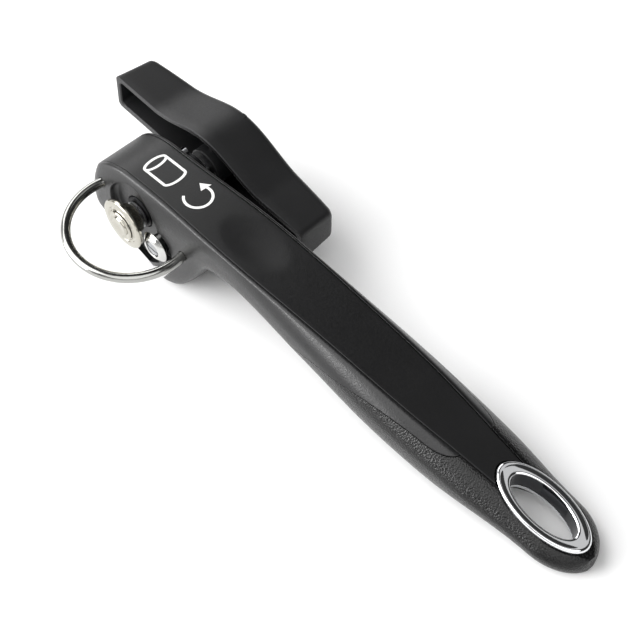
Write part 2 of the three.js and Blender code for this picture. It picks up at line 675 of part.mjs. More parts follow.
// Rings run from the mouth to the closed face, which is ruled from the upper edge to the lower.
function knobBlock(rings) {
  const sides = rings[0].length;
  const position = rings.flat().flatMap((p) => p.toArray());
  const index = [];
  for (let ring = 0; ring + 1 < rings.length; ring += 1) {
    for (let side = 0; side < sides; side += 1) {
      const a = ring * sides + side;
      const b = ring * sides + ((side + 1) % sides);
      index.push(a, b, a + sides, b, b + sides, a + sides);
    }
  }
  const last = (rings.length - 1) * sides;
  for (let i = 0; i + 1 < sides / 2; i += 1) {
    const up = [i, i + 1];
    const down = [sides - 1 - i, sides - 2 - i];
    index.push(up[0], down[0], up[1], up[1], down[0], down[1]);
    index.push(last + up[0], last + up[1], last + down[0], last + up[1], last + down[1], last + down[0]);
  }
  const geometry = new THREE.BufferGeometry();
  geometry.setAttribute('position', new THREE.Float32BufferAttribute(position, 3));
  geometry.setIndex(index);
  const body = solid(geometry);
  return body.volume() < 0 ? solid(flipped(geometry)) : body;
}

const knobOuter = knobBlock([
  knobRing(0, 0, 0), knobRing(0.55, knobDraft * 0.55, 0), knobRing(0.86, knobDraft * 0.9, 0),
  knobRing(0.96, knobDraft + 0.7, 0), knobRing(1, knobDraft + 2, 0),
]);
const knobInner = knobBlock([
  knobRing(-0.3, knobWall - 0.3, knobWall), knobRing(0.5, knobWall + knobDraft * 0.5, knobWall),
  knobRing(1, knobWall + knobDraft + 0.6, knobWall),
]);

const knobFaceY = knobMouthY + knobDepthMid;
const capRadius = 6;
const capThickness = 1.6;
const capSeatY = knobFaceY - capThickness - gap - 0.2;
const screwHeadRadius = 3.3;
const screwHeadHeight = 1.7;
const washerThickness = 0.6;
const screwFloorY = capSeatY - screwHeadHeight - washerThickness - 3 * gap;
const washerRadius = 4.2;
const hubStartY = knobMouthY - 0.6;
const ribThickness = 1.6;
const ribMouthGap = 2.2;

const knobRibs = join(
  box(spindleX - knobHalfLength, spindleX + knobHalfLength, knobMouthY + ribMouthGap + 5, 60,
    spindleZ - ribThickness / 2, spindleZ + ribThickness / 2),
  box(spindleX - ribThickness / 2, spindleX + ribThickness / 2, knobMouthY + ribMouthGap, 60,
    spindleZ - knobMidHalfHeight, spindleZ + knobMidHalfHeight)).intersect(knobOuter);
const knobHub = rodY(knobHubRadius, hubStartY, knobFaceY + 5, spindleX, spindleZ, 36).intersect(
  knobOuter.add(rodY(knobHubRadius, hubStartY, knobMouthY + 4, spindleX, spindleZ, 36)));

const knob = cut(
  join(cut(knobOuter, knobInner), knobRibs, knobHub),
  squarePrism(squareAcross + 2 * gap, 0, squareEndY + gap),
  rodY(screwHoleRadius + gap, 0, 60, spindleX, spindleZ, 20),
  rodY(washerRadius + gap, screwFloorY, 60, spindleX, spindleZ, 32),
  rodY(capRadius + gap, capSeatY, 60, spindleX, spindleZ, 24));

const knobWasher = ringY(screwHoleRadius + gap, washerRadius, screwFloorY + gap,
  screwFloorY + gap + washerThickness, spindleX, spindleZ);
const screwHeadY = screwFloorY + 2 * gap + washerThickness;
const knobScrew = cut(
  join(
    rodY(screwHeadRadius, screwHeadY, screwHeadY + screwHeadHeight, spindleX, spindleZ, 28),
    rodY(screwHoleRadius, squareEndY - 6, screwHeadY + 0.5, spindleX, spindleZ, 20)),
  box(spindleX - 2.2, spindleX + 2.2, screwHeadY + 0.9, 60, spindleZ - 0.4, spindleZ + 0.4),
  box(spindleX - 0.4, spindleX + 0.4, screwHeadY + 0.9, 60, spindleZ - 2.2, spindleZ + 2.2));
const knobCap = turnedY([[0, capSeatY + gap], [capRadius, capSeatY + gap], [capRadius, knobFaceY - 0.5],
  [capRadius - 0.4, knobFaceY - 0.2], [0, knobFaceY - 0.1]], spindleX, spindleZ, 24);

// ---------------------------------------------------------------- resting plane and assembly
// The opener stands on the hook under its head and on the underside of its tail.
const lowestZ = (x) => Math.min(...section(x).map((point) => point.z));
const hookX = 31;
const hookZ = lowestZ(hookX);
const restSlope = Math.min(...stationsBetween(alongHandle(0.5), overallLength - 1, 1).map(
  (x) => (lowestZ(x) - hookZ) / (x - hookX)));
const restTilt = Math.atan(restSlope);
const footTrim = 0.7;

function belowRest(body) {
  const reach = 400;
  const slab = new THREE.BoxGeometry(reach, reach, reach);
  slab.translate(0, 0, footTrim - reach / 2);
  slab.rotateY(-restTilt);
  slab.translate(hookX, 0, hookZ);
  return body.subtract(solid(slab));
}

const pieces = [
  ['handle_body', belowRest(handleShell), finishes.absSide],
  ['top_cover', topCover, finishes.abs],
  ['soft_grip', belowRest(gripShell), finishes.grip],
  ['hang_hole_sleeve', holeSleeve, finishes.chrome],
  ['hang_hole_back_ring', belowRest(backRing), finishes.chrome],
  ['chassis_plate', chassisPlate, finishes.steel],
  ['stop_pin', stopPin, finishes.steel],
  ['bush_wave_washer', waveWasher, finishes.steel],
  ['eccentric_bush', eccentricBush, finishes.zinc],
  ['spindle', spindle, finishes.steel],
  ['spindle_circlip', circlip, finishes.steel],
  ['thrust_washer_front', thrustFront, finishes.steel],
  ['thrust_washer_rear', thrustRear, finishes.steel],
  ['drive_wheel', driveWheel, finishes.chrome],
  ['drive_wheel_cap', wheelCap, finishes.chrome],
  ['cutter_wheel', cutterWheel, finishes.chrome],
  ['cutter_pivot', cutterPivot, finishes.steel],
  ['cutter_wave_washer', cutterWasher, finishes.steel],
  ['wire_loop', wireLoop, finishes.steel],
  ['loop_retainer_front', loopRetainer(180 - loopEndAngle + 4), finishes.steel],
  ['loop_retainer_rear', loopRetainer(loopEndAngle - 4), finishes.steel],
  ['knob', knob, finishes.abs],
  ['knob_washer', knobWasher, finishes.steel],
  ['knob_screw', knobScrew, finishes.steel],
  ['knob_cap', knobCap, finishes.abs],
];

const opener = new THREE.Group();
for (const [name, body, finish] of pieces) {
  const mesh = new THREE.Mesh(geometryOf(body), new THREE.MeshStandardMaterial(finish));
  mesh.name = name;
  opener.add(mesh);
}
opener.rotation.y = restTilt;
opener.updateMatrixWorld(true);
const bounds = new THREE.Box3().setFromObject(opener, true);
opener.position.set(
  -(bounds.min.x + bounds.max.x) / 2, -(bounds.min.y + bounds.max.y) / 2, -bounds.min.z);
opener.updateMatrixWorld(true);

export default opener;
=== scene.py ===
# %% [markdown]
# # A side-cutting can opener, built around its engineering model
# The frame holds every piece at its true size and place, in metres. This lesson dresses it: most
# visible pieces are rebuilt as fine meshes in the same place, and every piece gets a surface that
# behaves like the real material.

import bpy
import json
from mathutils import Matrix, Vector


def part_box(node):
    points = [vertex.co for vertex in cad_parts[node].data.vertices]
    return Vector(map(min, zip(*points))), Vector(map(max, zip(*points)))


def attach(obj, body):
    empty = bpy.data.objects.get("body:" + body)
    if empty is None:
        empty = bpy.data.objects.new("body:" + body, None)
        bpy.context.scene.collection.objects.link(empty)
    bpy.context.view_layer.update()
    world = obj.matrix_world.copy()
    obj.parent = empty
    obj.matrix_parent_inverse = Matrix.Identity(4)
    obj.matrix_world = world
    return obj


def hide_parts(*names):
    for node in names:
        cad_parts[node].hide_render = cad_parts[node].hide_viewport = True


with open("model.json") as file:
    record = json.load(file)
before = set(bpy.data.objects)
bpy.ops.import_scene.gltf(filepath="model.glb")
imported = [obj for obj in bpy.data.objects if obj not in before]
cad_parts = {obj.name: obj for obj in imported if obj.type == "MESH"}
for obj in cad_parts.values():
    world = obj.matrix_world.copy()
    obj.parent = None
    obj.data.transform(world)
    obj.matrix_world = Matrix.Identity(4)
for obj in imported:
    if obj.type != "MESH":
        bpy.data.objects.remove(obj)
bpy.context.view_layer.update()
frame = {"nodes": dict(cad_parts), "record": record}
print("pieces in the frame:", len(frame["nodes"]))

# %% [markdown]
# ## Two spaces
# The opener is drawn lying level, head near x = 0 and tail at x = 205 mm, because that is how its
# maker would draw it. On the table it rests on the tip of its hook and on its tail, so the whole
# drawing is tipped about Y and moved. The spindle fixes where it goes.

# %% From the drawing to the table
import json
from math import asin, atan, copysign, cos, degrees, hypot, pi, radians, sin, sqrt

import bmesh
import bpy
from mathutils import Matrix, Vector

MM = 0.001
REST_TILT = radians(9.777)
SPINDLE = SPINDLE_X, SPINDLE_Z = 19.5, -13.0
SPINDLE_FRONT_Y = -16.3  # the spindle's end inside the drive wheel

low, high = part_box("spindle")
spindle_middle = (low + high) / 2
turn = Matrix.Rotation(REST_TILT, 4, "Y")
drawn = turn @ (Vector((SPINDLE_X, 0, SPINDLE_Z)) * MM)
shift = Vector((spindle_middle.x - drawn.x, low.y - SPINDLE_FRONT_Y * MM,
                spindle_middle.z - drawn.z))
SEAT = Matrix.Translation(shift) @ turn @ Matrix.Scale(MM, 4)


def seated(x, y, z):
    """A point of the level drawing, in millimetres, as a point on the table, in metres."""
    return SEAT @ Vector((x, y, z))


print("spindle axis:", seated(SPINDLE_X, 0, SPINDLE_Z))

# %% [markdown]
# ## Camera
# A long lens a little over half a metre away keeps the far end nearly as large as the near one. The
# view looks down the handle from beside the tail, so the wheels, the top and the open side of the
# knob all show.

# %% Camera
VIEW_AZIMUTH = radians(47)
VIEW_ELEVATION = radians(54.5)
VIEW_DISTANCE = 560
VIEW_ROLL = radians(0.6)
VIEW_TARGET = (96.0, -1.6, 0)
LENS_MM = 105.8
SENSOR_MM = 36


def add_object(name, data):
    """A new object in the scene."""
    thing = bpy.data.objects.new(name, data)
    bpy.context.scene.collection.objects.link(thing)
    return thing


back = Vector((sin(VIEW_AZIMUTH) * cos(VIEW_ELEVATION),
               -cos(VIEW_AZIMUTH) * cos(VIEW_ELEVATION), sin(VIEW_ELEVATION)))
right = Vector((cos(VIEW_AZIMUTH), sin(VIEW_AZIMUTH), 0))
up = back.cross(right)
roll = Matrix.Rotation(VIEW_ROLL, 3, "Z")
basis = turn.to_3x3() @ Matrix((right, up, back)).transposed() @ roll
camera_data = bpy.data.cameras.new("camera")
camera_data.lens = LENS_MM
camera_data.sensor_width = SENSOR_MM
camera = add_object("camera", camera_data)
eye = seated(*(Vector(VIEW_TARGET) + back * VIEW_DISTANCE))
camera.matrix_world = Matrix.Translation(eye) @ basis.to_4x4()
bpy.context.scene.camera = camera
print("camera at", eye)

# %% [markdown]
# ## Building meshes from rings
# A moulded handle is a row of cross-sections, so the helper here skins a list of closed rings and
# caps the two ends. Holes and pockets are cut as they are in a mould: one closed body taken from
# another.

# %% Mesh helpers
SMOOTH_BELOW = radians(32)
MERGE_WITHIN = 1e-4  # points closer than this, in drawing millimetres, become one
SLIVER = 1e-7  # edges shorter than this, in metres, are dropped


def mesh_object(name, points, faces):
    """A closed mesh from points in drawing millimetres, its faces turned outwards."""
    mesh = bpy.data.meshes.new(name)
    mesh.from_pydata([tuple(p) for p in points], [], faces)
    shape = bmesh.new()
    shape.from_mesh(mesh)
    bmesh.ops.remove_doubles(shape, verts=shape.verts, dist=MERGE_WITHIN)
    bmesh.ops.recalc_face_normals(shape, faces=shape.faces)
    shape.to_mesh(mesh)
    shape.free()
    mesh.transform(SEAT)
    return add_object(name, mesh)


def skin(name, rings, closed=False):
    """Rings of equal length joined by quads, capped unless the row of rings closes on itself."""
    sides = len(rings[0])
    points = [p for ring in rings for p in ring]
    faces = []
    last = len(rings) if closed else len(rings) - 1
    for k in range(last):
        a, b = k * sides, ((k + 1) % len(rings)) * sides
        for i in range(sides):
            j = (i + 1) % sides
            faces.append((a + i, a + j, b + j, b + i))
    if not closed:
        faces.append(tuple(range(sides)))
        faces.append(tuple(range(len(points) - 1, len(points) - 1 - sides, -1)))
    return mesh_object(name, points, faces)


def combine(thing, other, operation):
    """Join, cut or intersect thing with other, then throw other away."""
    step = thing.modifiers.new(operation.lower(), "BOOLEAN")
    step.operation = operation
    step.solver = "MANIFOLD"
    step.object = other
    bpy.context.view_layer.update()
    evaluated = thing.evaluated_get(bpy.context.evaluated_depsgraph_get())
    result = bpy.data.meshes.new_from_object(evaluated)
    thing.modifiers.clear()
    old = thing.data
    thing.data = result
    bpy.data.meshes.remove(old)
    bpy.data.objects.remove(other)
    return thing


def join(thing, *others):
    for other in others:
        combine(thing, other, "UNION")


def cut(thing, *tools):
    for tool in tools:
        combine(thing, tool, "DIFFERENCE")
    return thing


def finish_mesh(thing, angle=SMOOTH_BELOW):
    """Smooth shading, with edges sharper than angle left crisp."""
    shape = bmesh.new()
    shape.from_mesh(thing.data)
    bmesh.ops.dissolve_degenerate(shape, edges=shape.edges, dist=SLIVER)
    shape.to_mesh(thing.data)
    shape.free()
    thing.data.shade_smooth()
    thing.data.set_sharp_from_angle(angle=angle)
    return thing


def full_turn(count):
    """Even angles round a circle."""
    return [2 * pi * k / count for k in range(count)]


def turned(name, profile, x, z, segments=96):
    """A lathe piece about an axis parallel to Y: profile is a closed loop of (radius, y)."""
    return skin(name, [[(x + r * cos(a), y, z + r * sin(a)) for r, y in profile]
                       for a in full_turn(segments)], closed=True)


def lathe_solid(name, profile, x, z, segments=96):
    """A solid lathe piece: profile is (radius, y), and its two end rings are closed flat."""
    return skin(name, [[(x + r * cos(a), y, z + r * sin(a)) for a in full_turn(segments)]
                       for r, y in profile])


def ring_y(name, inner, outer, y0, y1, x, z, e):
    """A flat ring about an axis parallel to Y, its edges chamfered by e."""
    profile = [(inner + e, y0), (outer - e, y0), (outer, y0 + e), (outer, y1 - e), (outer - e, y1),
               (inner + e, y1), (inner, y1 - e), (inner, y0 + e)]
    return turned(name, profile, x, z)


def rod(name, radius, y0, y1, x, z, segments=72):
    """A plain round bar parallel to Y, mostly used as a cutting tool."""
    return lathe_solid(name, [(radius, y0), (radius, y1)], x, z, segments)


def plate(name, outline, y0, y1):
    """An outline in the side view, extruded along Y."""
    return skin(name, [[(x, y, z) for x, z in outline] for y in (y0, y1)])


def block(name, x0, x1, y0, y1, z0, z1):
    return plate(name, [(x0, z0), (x1, z0), (x1, z1), (x0, z1)], y0, y1)


def bar(name, x, z, half_x, half_z, y0, y1):
    """A block centred on an axis parallel to Y."""
    return block(name, x - half_x, x + half_x, y0, y1, z - half_z, z + half_z)


def steps(start, end, spacing):
    """Even stations from start to end, about spacing apart."""
    count = max(round((end - start) / spacing), 1)
    return [start + (end - start) * i / count for i in range(count + 1)]


# %% [markdown]
# ## The handle's lines
# Five curves run the length of the handle: half-width at the crease beside the flat top, half-width
# at the bulge, how far down the bulge sits, the depth, and how square the underside is. The rest of
# the handle is read from them, from the arch of its top and from the rounding of its two ends.

# %% Curves along the handle
LENGTH = 205.0
HEAD = 54.0
ARCH_RADIUS, ARCH_PEAK_X, ARCH_PEAK_Z = 720.0, 103.0, 7.3
NOSE_START, NOSE_LENGTH, NOSE_HEIGHT = -4.0, 20.0, 14.0
NOSE_RADIUS, TAIL_RADIUS, TAIL_FLATNESS = 5.0, 14.0, 0.6
HEAD_HALF = 12.0
GAP = 0.3  # air between two pieces that move or screw together
seam = GAP * 0.6  # and between two mouldings that lie flush


def curve_through(pairs):
    """A smooth curve through (x, value) pairs."""
    slopes = []
    for i in range(len(pairs)):
        (xa, va), (xb, vb) = pairs[max(i - 1, 0)], pairs[min(i + 1, len(pairs) - 1)]
        slopes.append((vb - va) / (xb - xa))

    def value(x):
        if x <= pairs[0][0]:
            return pairs[0][1]
        if x >= pairs[-1][0]:
            return pairs[-1][1]
        i = next(k for k, pair in enumerate(pairs) if pair[0] > x) - 1
        (xa, va), (xb, vb) = pairs[i], pairs[i + 1]
        span = xb - xa
        t = (x - xa) / span
        rise = t * (1 - t) ** 2 * slopes[i] * span
        fall = t * t * (1 - t) * slopes[i + 1] * span
        return va + (vb - va) * t * t * (3 - 2 * t) + rise - fall

    return value


def along(share):
    """A station between the neck (0) and the tail (1)."""
    return HEAD + share * (LENGTH - HEAD)


def arch_z(x):
    return ARCH_PEAK_Z - (x - ARCH_PEAK_X) ** 2 / (2 * ARCH_RADIUS)


def rounding(radius, inside):
    """How far a quarter round of this radius has fallen away, at a depth inside from its end."""
    reach = min(max(radius - inside, 0), radius)
    return radius - sqrt(radius ** 2 - reach ** 2)


def nose_corner(x):
    return rounding(NOSE_RADIUS, x - NOSE_START)


def top_z(x):
    return arch_z(x) - NOSE_HEIGHT / NOSE_LENGTH * rounding(NOSE_LENGTH, x - NOSE_START)


def tail_close(x):
    past = max(x - (LENGTH - TAIL_RADIUS), 0) / TAIL_RADIUS
    return sqrt(max(1 - past ** 2, 0))


crease_half = curve_through([
    (0, 9.6), (28, 9.6), (HEAD, 10.5), (along(0.1), 10.7), (along(0.32), 10),
    (along(0.55), 9), (along(0.73), 7), (along(0.84), 5.9), (LENGTH, 5.5)])
bulge_half = curve_through([
    (0, HEAD_HALF), (36, HEAD_HALF), (HEAD, 11.4), (along(0.1), 11.4), (along(0.3), 12.8),
    (along(0.5), 13.9), (along(0.72), 13.1), (along(0.86), 11.1), (LENGTH, 10.3)])
bulge_depth = curve_through([
    (0, 9), (40, 9), (HEAD, 5), (along(0.3), 7), (along(0.5), 8.5), (along(0.75), 6.5),
    (LENGTH, 3.4)])
section_depth = curve_through([
    (NOSE_START, 19), (-3, 22.6), (1.2, 27), (6.4, 31), (15, 34.6), (24, 38), (29, 41), (32, 41.2),
    (38.6, 37.4), (44.8, 29.4), (49.5, 21.2), (HEAD, 16.6), (62, 14.8), (along(0.14), 15.4),
    (along(0.3), 18.8), (along(0.5), 21), (along(0.66), 19.8), (along(0.77), 15), (along(0.87), 12),
    (LENGTH, 9)])
squareness = curve_through([
    (0, 7), (38, 7), (HEAD, 4.2), (along(0.3), 3), (along(0.5), 2.7), (LENGTH, 2.4)])
NECK_X = 62
print("depth at the neck: %.1f mm" % section_depth(NECK_X))

# %% [markdown]
# ## One cross-section
# Flat top, a small round at the crease, a leaning side panel, then a squared-off underside that
# grows rounder towards the tail. The crease's round is what catches the long bright line beside
# the cover.

# %% Cross-sections
CREASE_ROUND = 0.75
TOP_POINTS, ROUND_POINTS, SIDE_POINTS, LOWER_POINTS = 5, 5, 12, 22
TAIL_REACH = 0.985  # the last ring, as a share of the closing stretch
LEAST_HALF, LEAST_CREASE = 0.05, 0.04  # no ring ever shrinks to a line
HANDLE_SPACING = 1.3


def section(x, inset=0.0):
    """The ring of the handle's skin at x, or of a skin that lies inset inside it."""
    close = tail_close(x)
    nose = nose_corner(x)
    bulge = max((bulge_half(x) - nose) * close - inset, LEAST_HALF)
    crease = min(max((crease_half(x) - nose) * close - inset, LEAST_CREASE), bulge)
    underside = arch_z(x) - section_depth(x)
    centre = (top_z(x) + underside) / 2
    half_depth = max((top_z(x) - underside) / 2 - inset, LEAST_HALF)
    half_depth *= TAIL_FLATNESS + (1 - TAIL_FLATNESS) * close
    top, bottom = centre + half_depth, centre - half_depth
    middle = top - min(bulge_depth(x), half_depth)
    power = 2 / squareness(x)

    def side(share):
        return (crease + (bulge - crease) * share * (2 - share), top + (middle - top) * share)

    soft = min(CREASE_ROUND, crease * 0.4)
    start = min(soft / max(top - middle, 0.2), 0.5)
    half = [((crease - soft) * i / TOP_POINTS, top) for i in range(TOP_POINTS)]
    p0, p1, p2 = (crease - soft, top), (crease, top), side(start)
    for i in range(ROUND_POINTS + 1):
        t = i / ROUND_POINTS
        half.append(tuple((1 - t) ** 2 * a + 2 * t * (1 - t) * b + t * t * c
                          for a, b, c in zip(p0, p1, p2)))
    for i in range(1, SIDE_POINTS):
        half.append(side(start + (1 - start) * i / SIDE_POINTS))
    for i in range(LOWER_POINTS + 1):
        angle = i / LOWER_POINTS * pi / 2
        half.append((bulge * max(cos(angle), 0) ** power,
                     middle + (bottom - middle) * sin(angle) ** power))
    left = [(-y, z) for y, z in reversed(half[1:-1])]
    return [(x, y, z) for y, z in half + left]


def tail_steps(count):
    """Stations crowded towards the tip of the tail."""
    start = LENGTH - TAIL_RADIUS
    return [start + TAIL_RADIUS * TAIL_REACH * sin(pi / 2 * i / count)
            for i in range(1, count + 1)]


def nose_steps(start, reach, count):
    """Stations crowded towards the front of the nose."""
    return [start + reach * (1 - cos(pi / 2 * i / count)) for i in range(count)]


NOSE_STEPS, TAIL_STEPS = 16, 14
nose_end = NOSE_START + NOSE_LENGTH
stations = nose_steps(NOSE_START, NOSE_LENGTH, NOSE_STEPS)
stations += steps(nose_end, LENGTH - TAIL_RADIUS, HANDLE_SPACING) + tail_steps(TAIL_STEPS)
outer = [section(x) for x in stations]
print("handle rings:", len(outer), "points round:", len(outer[0]))

# %% [markdown]
# ## Finishes: one helper and one way to state a colour
# Colours are written the way a designer reads them, as sRGB hex, and turned to linear once. Grain
# that is too fine to show at this size is drawn coarser, and the comment beside it says so.

# %% Material helpers
def srgb(text):
    """'#rrggbb' as linear red, green, blue, alpha."""
    parts = [int(text[i:i + 2], 16) / 255 for i in (1, 3, 5)]
    linear = (p / 12.92 if p <= 0.04045 else ((p + 0.055) / 1.055) ** 2.4 for p in parts)
    return tuple(linear) + (1.0,)


def node(material, kind, settings=None, links=None):
    """Adds one node: settings name its options or inputs, links feed inputs from a socket or from a
    node's first output."""
    made = material.node_tree.nodes.new(kind)
    for key, value in (settings or {}).items():
        if isinstance(key, str) and hasattr(made, key):
            setattr(made, key, value)
        else:
            made.inputs[key].default_value = value
    for key, source in (links or {}).items():
        socket = source.outputs[0] if hasattr(source, "outputs") else source
        material.node_tree.links.new(socket, made.inputs[key])
    return made


def new_material(name):
    material = bpy.data.materials.new(name)
    material.use_nodes = True
    material.node_tree.nodes.clear()
    return material


def per_metre(size_mm):
    """A texture scale that repeats once every size_mm."""
    return 1 / (size_mm * MM)


def cloudy_gloss(material, size_mm, low, high, detail=2.0):
    """A cloud with patches of size_mm, and a roughness that drifts with it between low and high."""
    coords = node(material, "ShaderNodeTexCoord").outputs["Object"]
    cloud = node(material, "ShaderNodeTexNoise", {"Scale": per_metre(size_mm), "Detail": detail},
                 {"Vector": coords})
    gloss = node(material, "ShaderNodeMapRange", {"To Min": low, "To Max": high}, {"Value": cloud})
    return cloud, gloss


def finish_material(material, surface):
    node(material, "ShaderNodeOutputMaterial", links={"Surface": surface})
    print("material:", material.name)
    return material


# %% [markdown]
# ## Moulded plastics and the elastomer grip
# ABS comes out of a spark-eroded mould with a fine, even grain, so its gloss is broken up. The
# cover is the same plastic from a finer tool. The grip is a soft elastomer with a coarser grain
# that sparkles where light grazes it. All three share one recipe with different numbers: a mottled
# roughness, a grain bump and a little rounding of sharp edges.

# %% Plastics
PLASTIC_IOR = 1.54  # ABS
ELASTOMER_IOR = 1.5
EDGE_ROUND_MM = 0.28  # a mould never leaves a knife edge
BEVEL_SAMPLES = 4
MOTTLE_MM = 14.0  # handling leaves the surface faintly uneven over a fingertip
GLOSS_LEVEL = 0.34  # pits in the grain trap part of the surface reflection


def grained_plastic(name, colour, worn, roughness, grain_mm, grain_height_mm, ior):
    spread = 0.08  # how far the grain moves the roughness either way
    m = new_material(name)
    coords = node(m, "ShaderNodeTexCoord").outputs["Object"]
    grain = node(m, "ShaderNodeTexNoise",
                 {"Scale": per_metre(grain_mm), "Detail": 3.0, "Roughness": 0.6}, {"Vector": coords})
    cells = node(m, "ShaderNodeTexVoronoi", {"Scale": per_metre(grain_mm * 0.8), "feature": "F1"},
                 {"Vector": coords})
    mottle = node(m, "ShaderNodeTexNoise", {"Scale": per_metre(MOTTLE_MM), "Detail": 2.0},
                  {"Vector": coords})
    height = node(m, "ShaderNodeMath", {"operation": "ADD"},
                  {0: grain, 1: cells})
    rounded = node(m, "ShaderNodeBevel", {"samples": BEVEL_SAMPLES, "Radius": EDGE_ROUND_MM * MM})
    bump = node(m, "ShaderNodeBump", {"Strength": 1.0, "Distance": grain_height_mm * MM},
                {"Height": height, "Normal": rounded})
    shade = node(m, "ShaderNodeValToRGB", links={"Fac": mottle})
    for stop, (position, tone) in zip(shade.color_ramp.elements, ((0.35, colour), (0.7, worn))):
        stop.position, stop.color = position, srgb(tone)
    gloss = node(m, "ShaderNodeMapRange", {"From Min": 0.3, "From Max": 0.7,
                                           "To Min": roughness - spread, "To Max": roughness + spread},
                 {"Value": grain})
    surface = node(m, "ShaderNodeBsdfPrincipled", {"IOR": ior, "Specular IOR Level": GLOSS_LEVEL},
                   {"Base Color": shade, "Roughness": gloss,
                    "Normal": bump})
    return finish_material(m, surface)


# Real grain is about 0.1 mm; it is drawn at about 0.6 mm so that it shows at arm's length.
handle_abs = grained_plastic("moulded_abs_satin", "#101011", "#141415", 0.34, 0.6, 0.022, PLASTIC_IOR)
cover_abs = grained_plastic("moulded_abs_fine", "#0c0c0d", "#101011", 0.40, 0.5, 0.014, PLASTIC_IOR)
knob_abs = grained_plastic("moulded_abs_knob", "#161617", "#19191a", 0.44, 0.45, 0.010, PLASTIC_IOR)
grip_tpe = grained_plastic("elastomer_grained", "#070707", "#0a0a0b", 0.24, 0.65, 0.11, ELASTOMER_IOR)

# %% [markdown]
# ## Bright and dull metals
# Plated parts are mirrors with hardly any texture, so their look comes from what they reflect. The
# wire is drawn through a die and then polished, which leaves it a little cloudy. The zinc bush is
# coloured near-black as painted shade for the recess behind the drive wheel, and the bore of the
# hanging hole takes a dark nickel as painted shade inside the hole, darker than the chrome of its
# lip. Small steel pieces inside the head are duller.

# %% Metals
METAL_EDGE_MM = 0.12  # tumbling breaks a metal edge less than a mould does


def plain_metal(name, colour, roughness, mottle_mm, spread, bump_mm):
    m = new_material(name)
    cloud, gloss = cloudy_gloss(m, mottle_mm, max(roughness - spread, 0.01), roughness + spread, 4.0)
    rounded = node(m, "ShaderNodeBevel", {"samples": BEVEL_SAMPLES, "Radius": METAL_EDGE_MM * MM})
    bump = node(m, "ShaderNodeBump", {"Strength": 1.0, "Distance": bump_mm * MM},
                {"Height": cloud, "Normal": rounded})
    surface = node(m, "ShaderNodeBsdfPrincipled", {"Base Color": srgb(colour), "Metallic": 1.0},
                   {"Roughness": gloss, "Normal": bump})
    return finish_material(m, surface)


chrome = plain_metal("chrome_plate", "#e4e5e7", 0.06, 9.0, 0.03, 0.01)
nickel = plain_metal("nickel_plate", "#b3b0a6", 0.16, 2.0, 0.07, 0.03)
ground_steel = plain_metal("ground_tool_steel", "#c9c9c7", 0.2, 1.2, 0.08, 0.01)
wire_steel = plain_metal("drawn_stainless_wire", "#a4a4a1", 0.17, 2.0, 0.06, 0.02)
# near-black zinc: painted shade of the dark recess behind the drive wheel
zinc = plain_metal("zinc_painted_shade", "#242425", 0.45, 1.5, 0.1, 0.02)
# dark nickel on the bore: painted shade inside the hanging hole
bore_painted_shade = plain_metal("nickel_bore_painted_shade", "#3c3d40", 0.14, 4.0, 0.06, 0.02)
plain_steel = plain_metal("zinc_plated_steel", "#a2a3a5", 0.3, 2.0, 0.1, 0.01)

INK_CLOUD_MM = 0.6
pad_white = new_material("pad_printed_ink")
finish_material(pad_white, node(pad_white, "ShaderNodeBsdfPrincipled", {"Base Color": srgb("#f2f2f0")},
                                {"Roughness": cloudy_gloss(pad_white, INK_CLOUD_MM, 0.4, 0.6)[1]}))

# %% [markdown]
# ## Putting a piece in its place
# Each finished piece is told which body it rides on, which engineering node it stands for and which
# finish slot it takes.

# %% Placing helper
BODY_OF = {name: body for body, names in frame["record"]["behaviour"]["bodies"].items()
           for name in names}


def place(thing, cad_name, material, angle=SMOOTH_BELOW):
    """Give a rebuilt piece its finish, and let it stand for its engineering node."""
    finish_mesh(thing, angle)
    thing.data.materials.clear()
    thing.data.materials.append(material)
    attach(thing, BODY_OF[cad_name])
    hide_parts(cad_name)
    print(thing.name, "faces:", len(thing.data.polygons))
    return thing


# %% [markdown]
# ## Axes inside the head
# The spindle sits off centre in its bush. Turning the bush swings the drive wheel towards the
# cutting wheel and clamps the can's seam between them.

# %% Axes
BUSH_OFFSET, BUSH_SWING = 1.2, 95
CUTTER_BEARING = radians(-18.4)
KNURL_RADIUS, CUTTER_RADIUS, CLAMPED_GAP = 5.2, 5.6, 0.35
to_cutter = Vector((cos(CUTTER_BEARING), sin(CUTTER_BEARING)))
open_bearing = CUTTER_BEARING - radians(BUSH_SWING)
bush_x = SPINDLE_X - BUSH_OFFSET * cos(open_bearing)
bush_z = SPINDLE_Z - BUSH_OFFSET * sin(open_bearing)
spacing = KNURL_RADIUS + CUTTER_RADIUS + CLAMPED_GAP + BUSH_OFFSET
BUSH = bush_x, bush_z
CUTTER = cutter_x, cutter_z = bush_x + spacing * to_cutter.x, bush_z + spacing * to_cutter.y

POCKET_DEPTH = 2.6
pocket_y = -HEAD_HALF + POCKET_DEPTH
bush_front_y = pocket_y - GAP
bush_flange_y = HEAD_HALF + 1
bush_back_y = bush_flange_y + 1.8
hub_back_y = bush_front_y - GAP - 0.6 - GAP
flange_back_y = -HEAD_HALF - 3.2
flange_front_y = flange_back_y - 1.6
cutter_front_y = flange_back_y + GAP + 0.2
print("cutter axis at", seated(cutter_x, 0, cutter_z))

# %% [markdown]
# ## Hanging hole
# The hole leans with the arched top. One oval ring function makes its chrome sleeve, the ring
# underneath and the tools that cut the space for them.

